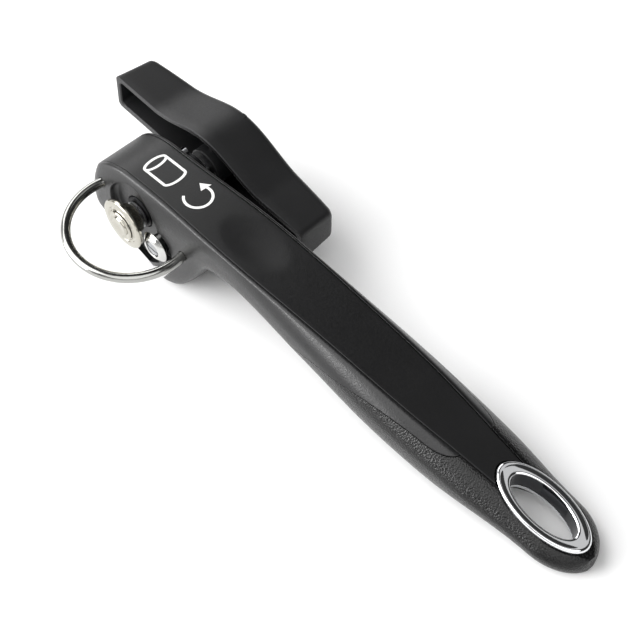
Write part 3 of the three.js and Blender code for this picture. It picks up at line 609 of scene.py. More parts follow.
# %% Oval rings
HOLE_HALF_LENGTH, HOLE_HALF_WIDTH, HOLE_FROM_TAIL = 12.2, 5.3, 19.2
BEZEL_WIDTH, END_STRETCH, BEZEL_HEIGHT, SLEEVE_WALL, BEZEL_SEAT = 2.7, 1.8, 0.9, 1.1, 0.7
BACK_RING_HEIGHT, BACK_RING_SUNK, BACK_RING_WIDTH = 1.6, 3.6, 1.9
OVAL_SEGMENTS = 112
BEYOND = 6  # how far a cutting tool runs past the surface it cuts
hole_x = LENGTH - HOLE_FROM_TAIL
hole_tilt = atan((hole_x - ARCH_PEAK_X) / ARCH_RADIUS)
hole_depth = section_depth(hole_x)
back_ring_z = -hole_depth + BACK_RING_SUNK
sleeve_bottom = back_ring_z + BACK_RING_HEIGHT + GAP
lean = Matrix.Translation((hole_x, 0, arch_z(hole_x))) @ Matrix.Rotation(hole_tilt, 4, "Y")


def oval(out, z):
    """The hole's outline grown by out, at a height z above the handle's top."""
    points = []
    for a in full_turn(OVAL_SEGMENTS):
        level = Vector(((HOLE_HALF_LENGTH + out * END_STRETCH) * cos(a),
                        (HOLE_HALF_WIDTH + out) * sin(a), z))
        points.append(tuple(lean @ level))
    return points


def oval_plug(name, out, z0, z1):
    return skin(name, [oval(out, z0), oval(out, z1)])


def oval_ring(name, profile):
    return skin(name, [oval(out, z) for out, z in profile], closed=True)


def hole_tools():
    """The three tools that clear the hole, its sleeve and the ring underneath."""
    return [oval_plug("t_hole", SLEEVE_WALL + GAP, -hole_depth - BEYOND, BEYOND),
            oval_plug("t_bezel", BEZEL_WIDTH + seam, -BEZEL_SEAT - GAP, BEYOND),
            oval_plug("t_back", BACK_RING_WIDTH + GAP, -hole_depth - BEYOND, sleeve_bottom)]


def lip_plug(grow):
    """The space above and below the chrome lip, where neither the cover nor its channel goes."""
    return oval_plug("t_lip", BEZEL_WIDTH + GAP - grow, -hole_depth - BEYOND, 2 * BEYOND)


# %% [markdown]
# ## Top cover
# A separate moulding lies in a channel along the top, 1.1 mm in from the crease, from the nose to
# the chrome lip of the hanging hole. It could be cut from the handle's skin, but skinning it
# directly gives its long edges their own small round. A shallow thumb rest is pressed into it
# behind the head.

# %% Top cover
LIP, COVER_THICK = 1.1, 2.4
COVER_EDGE_ROUND, COVER_ACROSS = 0.3, 26
CHANNEL_SPACING = 2.5
cover_start = NOSE_START + 1.5
cover_end = LENGTH - HOLE_FROM_TAIL - HOLE_HALF_LENGTH


def cover_half(x):
    return crease_half(x) - nose_corner(x) - LIP


def cover_tool(name, grow):
    """The channel: as wide and deep as the cover and grow more, stopping under the chrome lip."""
    xs = nose_steps(cover_start - grow, NOSE_LENGTH, NOSE_STEPS)
    xs += steps(nose_end, cover_end + grow, CHANNEL_SPACING)
    high = ARCH_PEAK_Z + BEYOND
    rings = []
    for x in xs:
        half = cover_half(x) + grow
        low = top_z(x) - COVER_THICK - grow
        rings.append([(x, half, low), (x, half, high), (x, -half, high), (x, -half, low)])
    return cut(skin(name, rings), lip_plug(grow))


DIMPLE_X, DIMPLE_HALF_LENGTH, DIMPLE_HALF_WIDTH, DIMPLE_DEPTH = 65, 14.5, 8.0, 0.7


def dimple(x, y):
    """The depth of the thumb rest at a point of the cover."""
    r = ((x - DIMPLE_X) / DIMPLE_HALF_LENGTH) ** 2 + (y / DIMPLE_HALF_WIDTH) ** 2
    return DIMPLE_DEPTH * (1 - r) ** 1.5 if r < 1 else 0


def cover_ring(x):
    half, top = cover_half(x), top_z(x)
    low = top - COVER_THICK
    r = COVER_EDGE_ROUND
    corner = [(r * cos(a), r * sin(a)) for a in (pi / 8, pi / 4, pi * 3 / 8)]
    points = [(half, low), (half, top - r)]
    points += [(half - r + u, top - r + v) for u, v in corner]
    points += [(y, top - dimple(x, y)) for y in
               ((half - r) * (1 - 2 * i / COVER_ACROSS) for i in range(COVER_ACROSS + 1))]
    points += [(-half + r - u, top - r + v) for u, v in reversed(corner)]
    points += [(-half, top - r), (-half, low)]
    return [(x, y, z) for y, z in points]


cover_stations = nose_steps(cover_start, nose_end - cover_start, NOSE_STEPS)
cover_stations += steps(nose_end, cover_end, HANDLE_SPACING)
top_cover = skin("top_cover_moulding", [cover_ring(x) for x in cover_stations])
cut(top_cover, lip_plug(0))
place(top_cover, "top_cover", cover_abs)

# %% [markdown]
# ## Soft grip
# The grip is moulded over the handle's underside and round its tail. Its upper edge starts as a
# point low on the neck and climbs until it meets the crease. It could be a patch laid on the
# handle; cutting the whole skin along that line keeps the two surfaces flush, as they are.

# %% Grip
GRIP_SKIN, GRIP_START, GRIP_WRAP = 1.7, 84.0, along(0.75)
GRIP_TOP = 9  # above the crease: behind here the grip reaches the cover
WIDE, UNDER = 30, -40  # past either side of the handle, and below all of it
GRIP_SPACING, CORE_SPACING = 1.5, 3.0
grip_edge = curve_through([
    (GRIP_START, -13), (GRIP_START + 3, -9.4), (along(0.26), -5.4), (along(0.33), -1.8),
    (along(0.4), 0.6), (along(0.49), 2.8), (along(0.58), 3.7), (along(0.68), 4.1),
    (GRIP_WRAP, GRIP_TOP)])


def grip_tool(name, grow):
    """Everything below the grip's upper edge, and grow more."""
    xs = steps(GRIP_START, GRIP_WRAP, GRIP_SPACING)
    past_tail = LENGTH + 5
    outline = [(GRIP_START - grow, UNDER)] + [(x - grow * 0.6, grip_edge(x) + grow) for x in xs]
    outline += [(past_tail, GRIP_TOP + grow), (past_tail, UNDER)]
    return plate(name, outline, -WIDE, WIDE)


def inner_skin(name, inset, start, end):
    """A body that lies inset inside the handle's skin."""
    return skin(name, [section(x, inset) for x in steps(start, end, CORE_SPACING)])


def flatten_feet(thing):
    """The hook and the tail end in small flats on the plane that the opener stands on."""
    for vertex in thing.data.vertices:
        vertex.co.z = max(vertex.co.z, 0)


grip = skin("soft_grip_overmould", outer)
combine(grip, grip_tool("t_grip", 0), "INTERSECT")
cut(grip, inner_skin("t_core", GRIP_SKIN, GRIP_START - 6, LENGTH - GRIP_SKIN),
    cover_tool("t_cover", seam), *hole_tools())
flatten_feet(grip)
place(grip, "soft_grip", grip_tpe)

# %% [markdown]
# ## Head and handle body
# One hollow ABS moulding. From its skin come, in turn: the channel for the cover, the recess for
# the grip, the round recess and toe pocket around the wheels, the slot behind the ring-pull hook,
# the space inside the head, and the bores for the bush, pivot, pin and wire.

# %% Head tools
LOOP_RADIUS, LOOP_X, LOOP_Y, LOOP_Z, LOOP_END = 20.5, 23.8, -16.3, -10.0, 40
WIRE_RADIUS, WIRE_SIDES = 1.65, 32
AXIS = 0.05  # a solid lathe profile starts this close to its axis


def loop_tube(name, radius, extra, count):
    """The wire's path with a round section: extra lengthens both ends, in degrees of the circle."""
    rings = []
    first, last = 180 - LOOP_END - extra, 360 + LOOP_END + extra
    for k in range(count + 1):
        a = radians(first + (last - first) * k / count)
        out = Vector((cos(a), sin(a), 0))
        middle = Vector((LOOP_X, LOOP_Y, LOOP_Z)) + out * LOOP_RADIUS
        rings.append([tuple(middle + out * (radius * cos(b)) + Vector((0, 0, radius * sin(b))))
                      for b in full_turn(WIRE_SIDES)])
    return skin(name, rings)


def recess(name, radius, x, z, floor_y, soft):
    """A round pocket whose floor meets its wall in a soft curve."""
    rim = [(radius + 0.25, -WIDE), (radius + 0.25, -HEAD_HALF - 0.1), (radius, -HEAD_HALF + 0.4)]
    bowl = [(radius - soft + soft * cos(a), floor_y - soft + soft * sin(a))
            for a in (pi / 2 * i / 6 for i in range(1, 7))]
    return lathe_solid(name, rim + bowl, x, z)


PIVOT_RADIUS, SPINDLE_RADIUS, BUSH_RADIUS = 1.9, 3.0, 5.6
PIN_RADIUS, PIN_ORBIT, PIN_BEARING, PIN_SUNK = 0.9, 8.5, radians(-35), 3
FLANGE_RADIUS = 9.0
ROOM_HALF, BORE_REACH = 7.2, 20
pin_x = bush_x + PIN_ORBIT * sin(PIN_BEARING)
pin_z = bush_z + PIN_ORBIT * cos(PIN_BEARING)


def head_tools():
    """The tools that cut the head, in the order of the text above."""
    toe = [(10, -17), (9, -26.5), (15, -29), (24.5, -32), (31, -26), CUTTER]
    slot = [(40.4, -20.2), (39.4, -19.2), (24.6, -34.4), (21.5, -46), (27.5, -46), (29.4, -37.4)]
    room = [(3.3, 4.0), (3.3, -17), (9, -25), (23.5, -28), (35, -20), (39, -14.5), (44.5, -14),
            (48, -9), (48, 1.5)]
    return [
        recess("t_recess", FLANGE_RADIUS + 2.9, *BUSH, pocket_y, 1.6),
        rod("t_cutter", CUTTER_RADIUS + 0.9, -WIDE, pocket_y, *CUTTER),
        plate("t_toe", toe, -WIDE, pocket_y),
        plate("t_slot", slot, -WIDE, WIDE),
        plate("t_room", room, -ROOM_HALF, ROOM_HALF),
        rod("t_bush", BUSH_RADIUS + GAP, -BORE_REACH, BORE_REACH, *BUSH),
        rod("t_pivot", PIVOT_RADIUS + GAP, -BORE_REACH, 0, *CUTTER),
        rod("t_pin", PIN_RADIUS + GAP, HEAD_HALF - PIN_SUNK - GAP, BORE_REACH, pin_x, pin_z),
        loop_tube("t_wire", WIRE_RADIUS + 0.15, 3, 72),
    ]


# %% Handle body
body = skin("handle_moulding", outer)
cut(body, grip_tool("t_grip", seam))
join(body, inner_skin("t_core", GRIP_SKIN + GAP, GRIP_START - 7, LENGTH - GRIP_SKIN - GAP))
cut(body, cover_tool("t_cover", seam), *head_tools(), *hole_tools())
flatten_feet(body)
place(body, "handle_body", handle_abs)

# %% [markdown]
# ## Chrome lining of the hole
# The sleeve has a broad polished lip with a rounded outer edge, a slightly dished face and a
# straight bore, whose faces take the second finish, a dark nickel that paints the shade inside the
# hole. Another ring closes the hole underneath.

# %% Sleeve and ring
lip = [(0.0, BEZEL_HEIGHT * 0.30), (0.12, BEZEL_HEIGHT * 0.52), (0.35, BEZEL_HEIGHT * 0.66)]
lip += [(0.5 + 1.5 * i / 6, BEZEL_HEIGHT * (0.7 + 0.28 * (i / 6) ** 2)) for i in range(7)]
lip += [(2.2, BEZEL_HEIGHT * 0.97), (2.42, BEZEL_HEIGHT * 0.82), (2.58, BEZEL_HEIGHT * 0.55),
        (2.67, BEZEL_HEIGHT * 0.25)]
sleeve_profile = lip + [(BEZEL_WIDTH, -0.1), (BEZEL_WIDTH, -BEZEL_SEAT), (SLEEVE_WALL, -BEZEL_SEAT),
                        (SLEEVE_WALL, sleeve_bottom), (0.1, sleeve_bottom), (0, sleeve_bottom + 0.1)]
sleeve = place(oval_ring("chrome_hole_sleeve", sleeve_profile), "hang_hole_sleeve", chrome)
# the bore's faces below the lip take the dark nickel as painted shade
sleeve.data.materials.append(bore_painted_shade)
to_lean = (SEAT @ lean).inverted()
for face in sleeve.data.polygons:
    middle = to_lean @ face.center
    reach = (middle.x / (HOLE_HALF_LENGTH + 0.3)) ** 2 + (middle.y / (HOLE_HALF_WIDTH + 0.2)) ** 2
    if reach < 1 and middle.z < 0:  # on the bore, below the lip
        face.material_index = 1
ring_top = sleeve_bottom - GAP
ring_profile = [(0.3, back_ring_z), (BACK_RING_WIDTH - 0.5, back_ring_z),
                (BACK_RING_WIDTH - 0.15, back_ring_z + 0.15), (BACK_RING_WIDTH, back_ring_z + 0.5),
                (BACK_RING_WIDTH, ring_top), (0, ring_top), (0, back_ring_z + 0.4),
                (0.08, back_ring_z + 0.12)]
place(oval_ring("chrome_back_ring", ring_profile), "hang_hole_back_ring", chrome)

# %% [markdown]
# ## Wire loop
# A 3.3 mm stainless wire bent to most of a circle, its ends held inside the head.

# %% Wire
place(loop_tube("bent_wire_loop", WIRE_RADIUS, 0, 200), "wire_loop", wire_steel)

# %% [markdown]
# ## Drive wheel and its cap
# The wheel is turned from hardened steel and plated: a thin guiding flange, a groove in its face,
# and behind it a knurled hub that grips the underside of the can's seam. A pressed cap with raised
# rings covers the riveted end of the spindle.

# %% Drive wheel
KNURL_TEETH, KNURL_DEPTH = 36, 0.5
NOSE_OF_SPINDLE = 2.4
WHEEL_SMOOTH, CAP_SMOOTH = radians(28), radians(50)


def star(radius, depth, teeth, y, x, z):
    points = []
    half = pi / teeth
    for a in full_turn(teeth):
        for r, angle in ((radius, a - half * 0.25), (radius, a + half * 0.25), (radius - depth, a + half)):
            points.append((x + r * cos(angle), y, z + r * sin(angle)))
    return points


flange_rim = [(FLANGE_RADIUS - 0.55, flange_front_y), (FLANGE_RADIUS - 0.2, flange_front_y + 0.12),
              (FLANGE_RADIUS, flange_front_y + 0.45), (FLANGE_RADIUS, flange_back_y - 0.45),
              (FLANGE_RADIUS - 0.15, flange_back_y - 0.12), (FLANGE_RADIUS - 0.5, flange_back_y)]
bore = NOSE_OF_SPINDLE + GAP
groove = [(bore, flange_front_y), (5.45, flange_front_y), (5.6, flange_front_y + 0.3),
          (6.0, flange_front_y + 0.45), (6.45, flange_front_y + 0.3), (6.7, flange_front_y)]
wheel = turned("plated_drive_wheel", groove + flange_rim + [(bore, flange_back_y)],
               *SPINDLE, 128)
knurl = skin("t_knurl", [star(KNURL_RADIUS, KNURL_DEPTH, KNURL_TEETH, y, *SPINDLE)
                         for y in (flange_back_y - 0.2, hub_back_y - 0.9)])
join(wheel, knurl, rod("t_collar", KNURL_RADIUS - 0.9, hub_back_y - 1.2, hub_back_y - GAP, *SPINDLE))
cut(wheel, rod("t_bore", bore, -WIDE, 0, *SPINDLE))
place(wheel, "drive_wheel", nickel, angle=WHEEL_SMOOTH)

cap_outline = [(AXIS, 0.85), (0.5, 0.9), (1.6, 1.05), (2.7, 1.24), (3.1, 1.24), (3.35, 1.1), (3.5, 0.62),
               (3.85, 0.58), (4.1, 0.75), (4.6, 0.85), (4.95, 0.74), (5.15, 0.55), (5.2, GAP), (AXIS, GAP)]
cap = lathe_solid("plated_wheel_cap", [(r, flange_front_y - proud) for r, proud in cap_outline],
                  *SPINDLE)
place(cap, "drive_wheel_cap", nickel, angle=CAP_SMOOTH)

# %% [markdown]
# ## Cutting wheel and pivot
# The cutter is a cone ground to an edge, so it meets the seam from the side. A slotted screw with
# its head sunk in the wheel carries it.

# %% Cutter
CUTTER_THICK = 1.5
SLOT_HALF, SLOT_DEPTH = 0.35, 0.5
cutter_back_y = cutter_front_y + CUTTER_THICK
cutter_washer_y = pocket_y - GAP
cutter_hub_y = cutter_washer_y - 0.4 - GAP
head_radius = 2.7
head_front_y = cutter_front_y + 0.1
head_back_y = head_front_y + 1
cutter = turned("ground_cutting_wheel", [
    (head_radius + GAP, cutter_front_y + 0.1), (head_radius + GAP + 0.1, cutter_front_y),
    (CUTTER_RADIUS - 1.75, cutter_front_y), (CUTTER_RADIUS - 1.5, cutter_front_y + 0.15),
    (CUTTER_RADIUS - 0.1, cutter_back_y - 0.3), (CUTTER_RADIUS, cutter_back_y - 0.15),
    (CUTTER_RADIUS - 0.1, cutter_back_y), (3.4, cutter_back_y), (3.4, cutter_hub_y),
    (PIVOT_RADIUS + GAP, cutter_hub_y), (PIVOT_RADIUS + GAP, head_back_y + GAP),
    (head_radius + GAP, head_back_y + GAP)], *CUTTER, 112)
place(cutter, "cutter_wheel", ground_steel)

pivot = lathe_solid("slotted_pivot_screw", [
    (AXIS, head_front_y), (head_radius - 0.5, head_front_y), (head_radius - 0.15, head_front_y + 0.12),
    (head_radius, head_front_y + 0.4), (head_radius, head_back_y), (PIVOT_RADIUS, head_back_y),
    (PIVOT_RADIUS, -3.9), (PIVOT_RADIUS - 0.3, -3.6), (AXIS, -3.6)], *CUTTER, 64)
cut(pivot, bar("t_slot_cut", *CUTTER, 4, SLOT_HALF, -WIDE, head_front_y + SLOT_DEPTH))
place(pivot, "cutter_pivot", plain_steel)

# %% [markdown]
# ## Bush, spindle and the pieces that hold them
# Behind the head the bush shows as a flange with a notch that runs against the stop pin. The
# spindle comes out through it with a washer and a circlip, and ends in a driving square.

# %% Bush and spindle
FLANGE_OF_BUSH = 9.6
pin_bearing_degrees = degrees(PIN_BEARING)
pin_span = degrees(asin((PIN_RADIUS + GAP) / PIN_ORBIT))


def bush_sector(name, inner, outer_radius, y0, y1, start, end):
    """Part of a ring about the bush's axis, with bearings in degrees."""
    angles = [radians(a) for a in steps(start, end, 4)]
    outline = [(bush_x + outer_radius * sin(a), bush_z + outer_radius * cos(a)) for a in angles]
    outline += [(bush_x + inner * sin(a), bush_z + inner * cos(a)) for a in reversed(angles)]
    return plate(name, outline, y0, y1)


bush = lathe_solid("die_cast_bush", [
    (AXIS, bush_front_y), (BUSH_RADIUS - 0.2, bush_front_y), (BUSH_RADIUS, bush_front_y + 0.2),
    (BUSH_RADIUS, bush_flange_y), (FLANGE_OF_BUSH - 0.2, bush_flange_y),
    (FLANGE_OF_BUSH, bush_flange_y + 0.2), (FLANGE_OF_BUSH, bush_back_y - 0.3),
    (FLANGE_OF_BUSH - 0.3, bush_back_y), (AXIS, bush_back_y)], *BUSH)
cut(bush, rod("t_shaft", SPINDLE_RADIUS + GAP, -WIDE, WIDE, *SPINDLE),
    bush_sector("t_notch", PIN_ORBIT - PIN_RADIUS - GAP, FLANGE_OF_BUSH + 2,
                bush_flange_y - 1, bush_back_y + 1, pin_bearing_degrees - pin_span,
                pin_bearing_degrees + BUSH_SWING + pin_span))
# the bush's near-black zinc is painted shade for the recess it sits in
place(bush, "eccentric_bush", zinc)

SQUARE, WASHER, TAP_RADIUS = 4.4, 0.6, 1.8
KNOB_MOUTH_Y, KNOB_DEPTH_MID, KNOB_DEPTH_END = 18.5, 18.2, 14.9
circlip_y = bush_back_y + 2 * GAP + WASHER
square_start_y = circlip_y + WASHER + 2 * GAP
square_end_y = KNOB_MOUTH_Y + KNOB_DEPTH_MID - 8
spindle = lathe_solid("turned_spindle", [
    (AXIS, SPINDLE_FRONT_Y), (NOSE_OF_SPINDLE - 0.3, SPINDLE_FRONT_Y),
    (NOSE_OF_SPINDLE, SPINDLE_FRONT_Y + 0.3), (NOSE_OF_SPINDLE, hub_back_y),
    (SPINDLE_RADIUS, hub_back_y), (SPINDLE_RADIUS, circlip_y), (SPINDLE_RADIUS - 0.5, circlip_y),
    (SPINDLE_RADIUS - 0.5, square_start_y), (AXIS, square_start_y)],
    *SPINDLE, 72)
half_square = SQUARE / 2
join(spindle, bar("t_square", *SPINDLE, half_square, half_square, square_start_y - 0.1, square_end_y))
cut(spindle, rod("t_tap", TAP_RADIUS, square_end_y - 7, square_end_y + 5, *SPINDLE))
place(spindle, "spindle", plain_steel)

place(ring_y("rear_thrust_washer", SPINDLE_RADIUS + GAP, 5.4, bush_back_y + GAP, bush_back_y + GAP + WASHER,
             *SPINDLE, 0.08), "thrust_washer_rear", plain_steel)
place(rod("driven_stop_pin", PIN_RADIUS, HEAD_HALF - PIN_SUNK, bush_back_y - 0.4, pin_x, pin_z, 40),
      "stop_pin", plain_steel)
clip = ring_y("spring_circlip", SPINDLE_RADIUS - 0.5 + GAP, 4.8, circlip_y + GAP, circlip_y + GAP + 0.5,
              *SPINDLE, 0.06)
cut(clip, block("t_clip", SPINDLE_X - 0.9, SPINDLE_X + 0.9, 0, 40, SPINDLE_Z - 8, SPINDLE_Z))
place(clip, "spindle_circlip", plain_steel)

# %% [markdown]
# ## Butterfly knob
# A thin-walled ABS moulding, open towards the head. Its outline swells over the hub so the fingers
# have two wings to push on. It is skinned as one shell: the outside from the mouth to the rounded
# face, then the inside back to the mouth. A cross of ribs and a boss carry the square.

# %% Knob shell
KNOB_HALF, KNOB_END_HALF, KNOB_MID_HALF, KNOB_REACH = 46.0, 7.2, 13.6, 27.0
KNOB_WALL, KNOB_DRAFT, KNOB_FILLET, RIM_ROUND = 2.0, 1.0, 2.2, 0.35
KNOB_COLUMNS, KNOB_CORNER = 84, 1.9


def knob_depth(x):
    share = min(abs(x) / KNOB_HALF, 1)
    return KNOB_DEPTH_MID - (KNOB_DEPTH_MID - KNOB_DEPTH_END) * share ** 2


def knob_half_height(x):
    reach = min(abs(x) / KNOB_REACH, 1)
    return KNOB_END_HALF + (KNOB_MID_HALF - KNOB_END_HALF) * (0.5 + 0.5 * cos(pi * reach))


def knob_ring(inset, depth_of):
    """The outline drawn in by inset, at a depth that depends on x."""
    half, corner = KNOB_HALF - inset, KNOB_CORNER
    xs = []
    for i in range(KNOB_COLUMNS + 1):
        t = i / KNOB_COLUMNS * 2 - 1
        xs.append(half * copysign(1 - (1 - abs(t)) ** 1.6, t))
    heights = [knob_half_height(x) - inset - rounding(corner, min(half - abs(x), corner)) * 0.92
               for x in xs]
    upper = [(SPINDLE_X + x, KNOB_MOUTH_Y + depth_of(x), SPINDLE_Z + h) for x, h in zip(xs, heights)]
    lower = [(SPINDLE_X + x, KNOB_MOUTH_Y + depth_of(x), SPINDLE_Z - h) for x, h in zip(xs, heights)]
    return upper + lower[::-1]


def knob_shell(name):
    """Rim, tapering wall and rounded face on the outside, then back down the inside."""
    rings = []
    for i in range(4):  # rim, from its inner edge outwards
        a = pi / 2 * i / 3
        rings.append(knob_ring(RIM_ROUND * (1 - sin(a)), lambda x, a=a: RIM_ROUND * (1 - cos(a))))
    for share in (0.25, 0.5, 0.75):
        rings.append(knob_ring(KNOB_DRAFT * share, lambda x, s=share: s * (knob_depth(x) - KNOB_FILLET)))
    for i in range(8):
        a = pi / 2 * i / 7
        rings.append(knob_ring(KNOB_DRAFT + KNOB_FILLET * (1 - cos(a)),
                               lambda x, a=a: knob_depth(x) - KNOB_FILLET * (1 - sin(a))))
    face_at = len(rings) - 1
    for share in (1.0, 0.75, 0.5, 0.25):
        rings.append(knob_ring(KNOB_WALL + KNOB_DRAFT * share,
                               lambda x, s=share: s * (knob_depth(x) - KNOB_WALL)))
    rings.append(knob_ring(KNOB_WALL, lambda x: RIM_ROUND))
    rings.append(knob_ring(KNOB_WALL - RIM_ROUND, lambda x: 0))
    sides = len(rings[0])
    faces = []
    for k in range(len(rings)):
        if k == face_at:
            continue
        a, b = k * sides, ((k + 1) % len(rings)) * sides
        faces += [(a + i, a + (i + 1) % sides, b + (i + 1) % sides, b + i) for i in range(sides)]
    for base in (face_at * sides, (face_at + 1) * sides):  # the closed face, outside and inside
        faces += [(base + i, base + i + 1, base + sides - 2 - i, base + sides - 1 - i)
                  for i in range(sides // 2 - 1)]
    return mesh_object(name, [p for ring in rings for p in ring], faces)


HUB_RADIUS, RIB = 6.8, 1.6
CAP_RADIUS, CAP_THICK = 6.0, 1.6
face_y = KNOB_MOUTH_Y + KNOB_DEPTH_MID
cap_seat_y = face_y - CAP_THICK - GAP - 0.2
SCREW_HEAD_HEIGHT, SCREW_WASHER, WASHER_RADIUS = 1.7, 0.6, 4.2
screw_floor_y = cap_seat_y - SCREW_HEAD_HEIGHT - SCREW_WASHER - 3 * GAP

knob = knob_shell("butterfly_knob")
deep = face_y - KNOB_WALL + 1.2  # ribs and hub run this far into the face
rib_reach = KNOB_HALF - KNOB_WALL * 0.6
rib_top = [(x, KNOB_MOUTH_Y + knob_depth(x) - KNOB_WALL * 0.5) for x in steps(-rib_reach, rib_reach, 3)]
rib_foot = KNOB_MOUTH_Y + 7.2
rib_outline = [(SPINDLE_X + x, y) for x, y in rib_top]
rib_outline += [(SPINDLE_X + rib_reach, rib_foot), (SPINDLE_X - rib_reach, rib_foot)]
long_rib = skin("t_long_rib", [[(x, y, SPINDLE_Z + z) for x, y in rib_outline]
                               for z in (-RIB / 2, RIB / 2)])
cross_rib = bar("t_cross_rib", *SPINDLE, RIB / 2, KNOB_MID_HALF - 1, KNOB_MOUTH_Y + 2.2, deep)
hub_y = KNOB_MOUTH_Y - 0.6
hub = lathe_solid("t_hub", [(AXIS, hub_y), (HUB_RADIUS - 0.4, hub_y), (HUB_RADIUS, hub_y + 0.4),
                            (HUB_RADIUS, deep), (AXIS, deep)], *SPINDLE)
join(knob, long_rib, cross_rib, hub)
socket = half_square + GAP
past_face = 60
cut(knob, bar("t_socket", *SPINDLE, socket, socket, 0, square_end_y + GAP),
    rod("t_screw", TAP_RADIUS, 0, past_face, *SPINDLE),
    rod("t_well", WASHER_RADIUS + GAP, screw_floor_y, past_face, *SPINDLE),
    rod("t_cap", CAP_RADIUS + 0.15, cap_seat_y, past_face, *SPINDLE))
place(knob, "knob", knob_abs)

cap_y = cap_seat_y + GAP
cap_disc = lathe_solid("knob_cap_disc", [
    (AXIS, cap_y), (CAP_RADIUS, cap_y), (CAP_RADIUS, face_y - 0.45), (CAP_RADIUS - 0.12, face_y - 0.25),
    (CAP_RADIUS - 0.4, face_y - 0.15), (AXIS, face_y - 0.1)], *SPINDLE)
place(cap_disc, "knob_cap", knob_abs)

# %% [markdown]
# ## Pieces that stay as they are
# Washers, the steel plate, the retainers and the knob's screw sit inside the head or the knob. Their
# engineering solids are already right, so they only take a finish.

# %% Inner pieces
KEPT = ("chassis_plate", "bush_wave_washer", "thrust_washer_front", "cutter_wave_washer",
        "loop_retainer_front", "loop_retainer_rear", "knob_washer", "knob_screw")
for name in KEPT:
    thing = frame["nodes"][name]
    thing.data.materials.clear()
    thing.data.materials.append(plain_steel)
print("kept:", len(KEPT))

# %% [markdown]
# ## Printed mark
# The head carries a pad-printed mark. Here it is a plain pictogram: a can seen from the side beside
# a turning arrow. Ink is a few hundredths of a millimetre thick, so each stroke is a thin strip laid
# on the cover.

# %% Pictogram
INK = 0.05


def printed(name, outline):
    """A thin closed patch on the cover, from an outline in plan."""
    rings = [[(x, y, top_z(x) + lift) for x, y in outline] for lift in (0.0, INK)]
    patch = skin(name, rings)
    finish_mesh(patch)
    patch.data.materials.append(pad_white)
    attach(patch, "handle")
    return patch


def stroke(points, width):
    """A strip of constant width along a row of points."""
    left_side, right_side = [], []
    for i, (x, y) in enumerate(points):
        (xa, ya), (xb, yb) = points[max(i - 1, 0)], points[min(i + 1, len(points) - 1)]
        size = hypot(xb - xa, yb - ya)
        nx, ny = -(yb - ya) / size * width / 2, (xb - xa) / size * width / 2
        left_side.append((x + nx, y + ny))
        right_side.append((x - nx, y - ny))
    return left_side + right_side[::-1]


def arc(cx, cy, rx, ry, start, end, count=24):
    return [(cx + rx * cos(radians(a)), cy + ry * sin(radians(a)))
            for a in (start + (end - start) * i / count for i in range(count + 1))]


LINE = 0.9  # width of every printed stroke
LID_X, BASE_X, CAN_HALF, CAN_BULGE = 17.5, 27.0, 4.2, 1.7
WALL_X = LID_X + 0.4
ARROW_X, ARROW_RADIUS, ARROW_START, ARROW_END = 38.5, 4.6, -140, 110
printed("mark_can_lid", stroke(arc(LID_X, 0, CAN_BULGE, CAN_HALF, 0, 359.9, 48), LINE))
printed("mark_can_wall_a", stroke([(WALL_X, CAN_HALF), (BASE_X, CAN_HALF)], LINE))
printed("mark_can_wall_b", stroke([(WALL_X, -CAN_HALF), (BASE_X, -CAN_HALF)], LINE))
printed("mark_can_base", stroke(arc(BASE_X, 0, CAN_BULGE, CAN_HALF, -90, 90), LINE))
turning = arc(ARROW_X, 0, ARROW_RADIUS, ARROW_RADIUS, ARROW_START, ARROW_END, 36)
printed("mark_arrow_arc", stroke(turning, LINE))
tip_x, tip_y = turning[-1]
printed("mark_arrow_head", [(tip_x - 2.6, tip_y - 0.3), (tip_x + 0.6, tip_y + 1.9),
                            (tip_x + 0.3, tip_y - 2.1)])
print("pictogram strokes: 6")

# %% [markdown]
# ## Table and light
# A plain pale table and soft light: two very wide suns stand in for light bounced off a ceiling and
# a side wall, a panel on the left shapes the top, one low in front opens up the side of the head,
# and a faint one behind glints in the chrome. The surround has white walls and a dark ceiling, so
# metal seen from above has something dark to reflect.

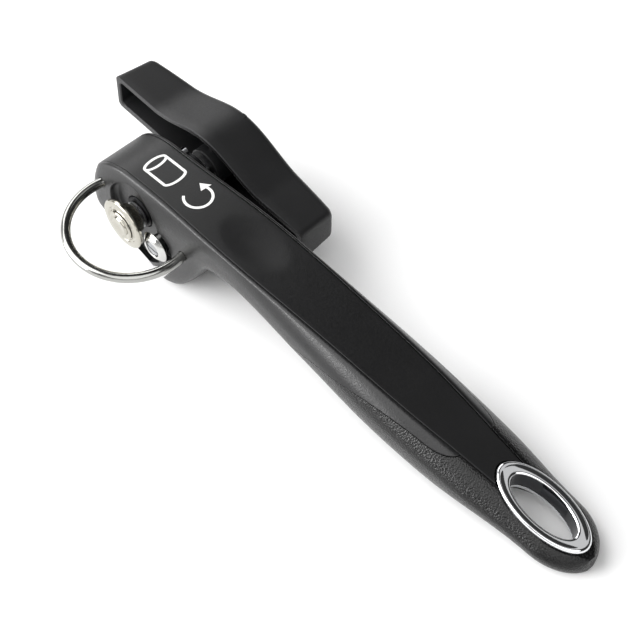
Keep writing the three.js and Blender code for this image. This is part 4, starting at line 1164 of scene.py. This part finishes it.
# %% Floor
FLOOR_HALF, FLOOR_DROP = 1.6, 0.0002  # metres
PAPER_CLOUD_MM = 60
floor_mesh = bpy.data.meshes.new("table_top")
corners = [(x * FLOOR_HALF, y * FLOOR_HALF, 0) for x, y in ((-1, -1), (1, -1), (1, 1), (-1, 1))]
floor_mesh.from_pydata(corners, [], [(0, 1, 2, 3)])
floor = add_object("table_top", floor_mesh)
floor.location.z = -FLOOR_DROP
paper = new_material("white_sweep")
finish_material(paper, node(paper, "ShaderNodeBsdfPrincipled",
                            {"Base Color": srgb("#fcfcfc"), "Specular IOR Level": 0.1},
                            {"Roughness": cloudy_gloss(paper, PAPER_CLOUD_MM, 0.85, 0.95)[1]}))
floor_mesh.materials.append(paper)

# %% Surround
WALL_TOP, CEILING_EDGE = 0.06, 0.4  # upward parts of a direction of length one
world = bpy.data.worlds.new("studio")
world.use_nodes = True
world.node_tree.nodes.clear()
direction = node(world, "ShaderNodeTexCoord").outputs["Generated"]
steepness = node(world, "ShaderNodeSeparateXYZ", links={0: direction}).outputs["Z"]
level = node(world, "ShaderNodeMapRange",
             {"From Min": WALL_TOP, "From Max": CEILING_EDGE, "To Min": 1.0, "To Max": 0.04,
              "interpolation_type": "SMOOTHSTEP"}, {"Value": steepness})
walls = node(world, "ShaderNodeBackground", {"Color": (1, 1, 1, 1)}, {"Strength": level})
node(world, "ShaderNodeOutputWorld", links={"Surface": walls})
bpy.context.scene.world = world
bpy.context.scene.view_settings.view_transform = "Standard"
print("surround: white below", WALL_TOP, "and dark above", CEILING_EDGE)

# %% Lamps
SUN_SPREAD = radians(60)


def lamp(name, kind, location, shines, **settings):
    """A lamp that shines along a direction."""
    data = bpy.data.lights.new(name, kind)
    for key, value in settings.items():
        setattr(data, key, value)
    thing = add_object(name, data)
    thing.location = location
    thing.rotation_mode = "QUATERNION"
    thing.rotation_quaternion = shines.to_track_quat("-Z", "Y")


for name, comes_from, strength in (("ceiling_bounce", (-0.5, -0.65, 0.85), 2.6),
                                   ("right_fill", (0.65, -0.5, 0.85), 1.5)):
    lamp(name, "SUN", (0, 0, 0), -Vector(comes_from), energy=strength, angle=SUN_SPREAD)

for name, at, aim, width, depth, watts in (
        ("left_panel", (-0.95, 0.25, 0.75), (0, 0, 0.02), 0.8, 0.6, 5),
        ("front_panel", (-0.6, -0.8, 0.24), (-0.02, 0, 0.02), 0.8, 0.22, 9),
        ("back_strip", (0.15, 0.43, 0.92), (0.095, 0, 0.02), 0.5, 0.3, 0.3)):
    lamp(name, "AREA", at, Vector(aim) - Vector(at),
         shape="RECTANGLE", size=width, size_y=depth, energy=watts)
print("lamps:", len(bpy.data.lights))
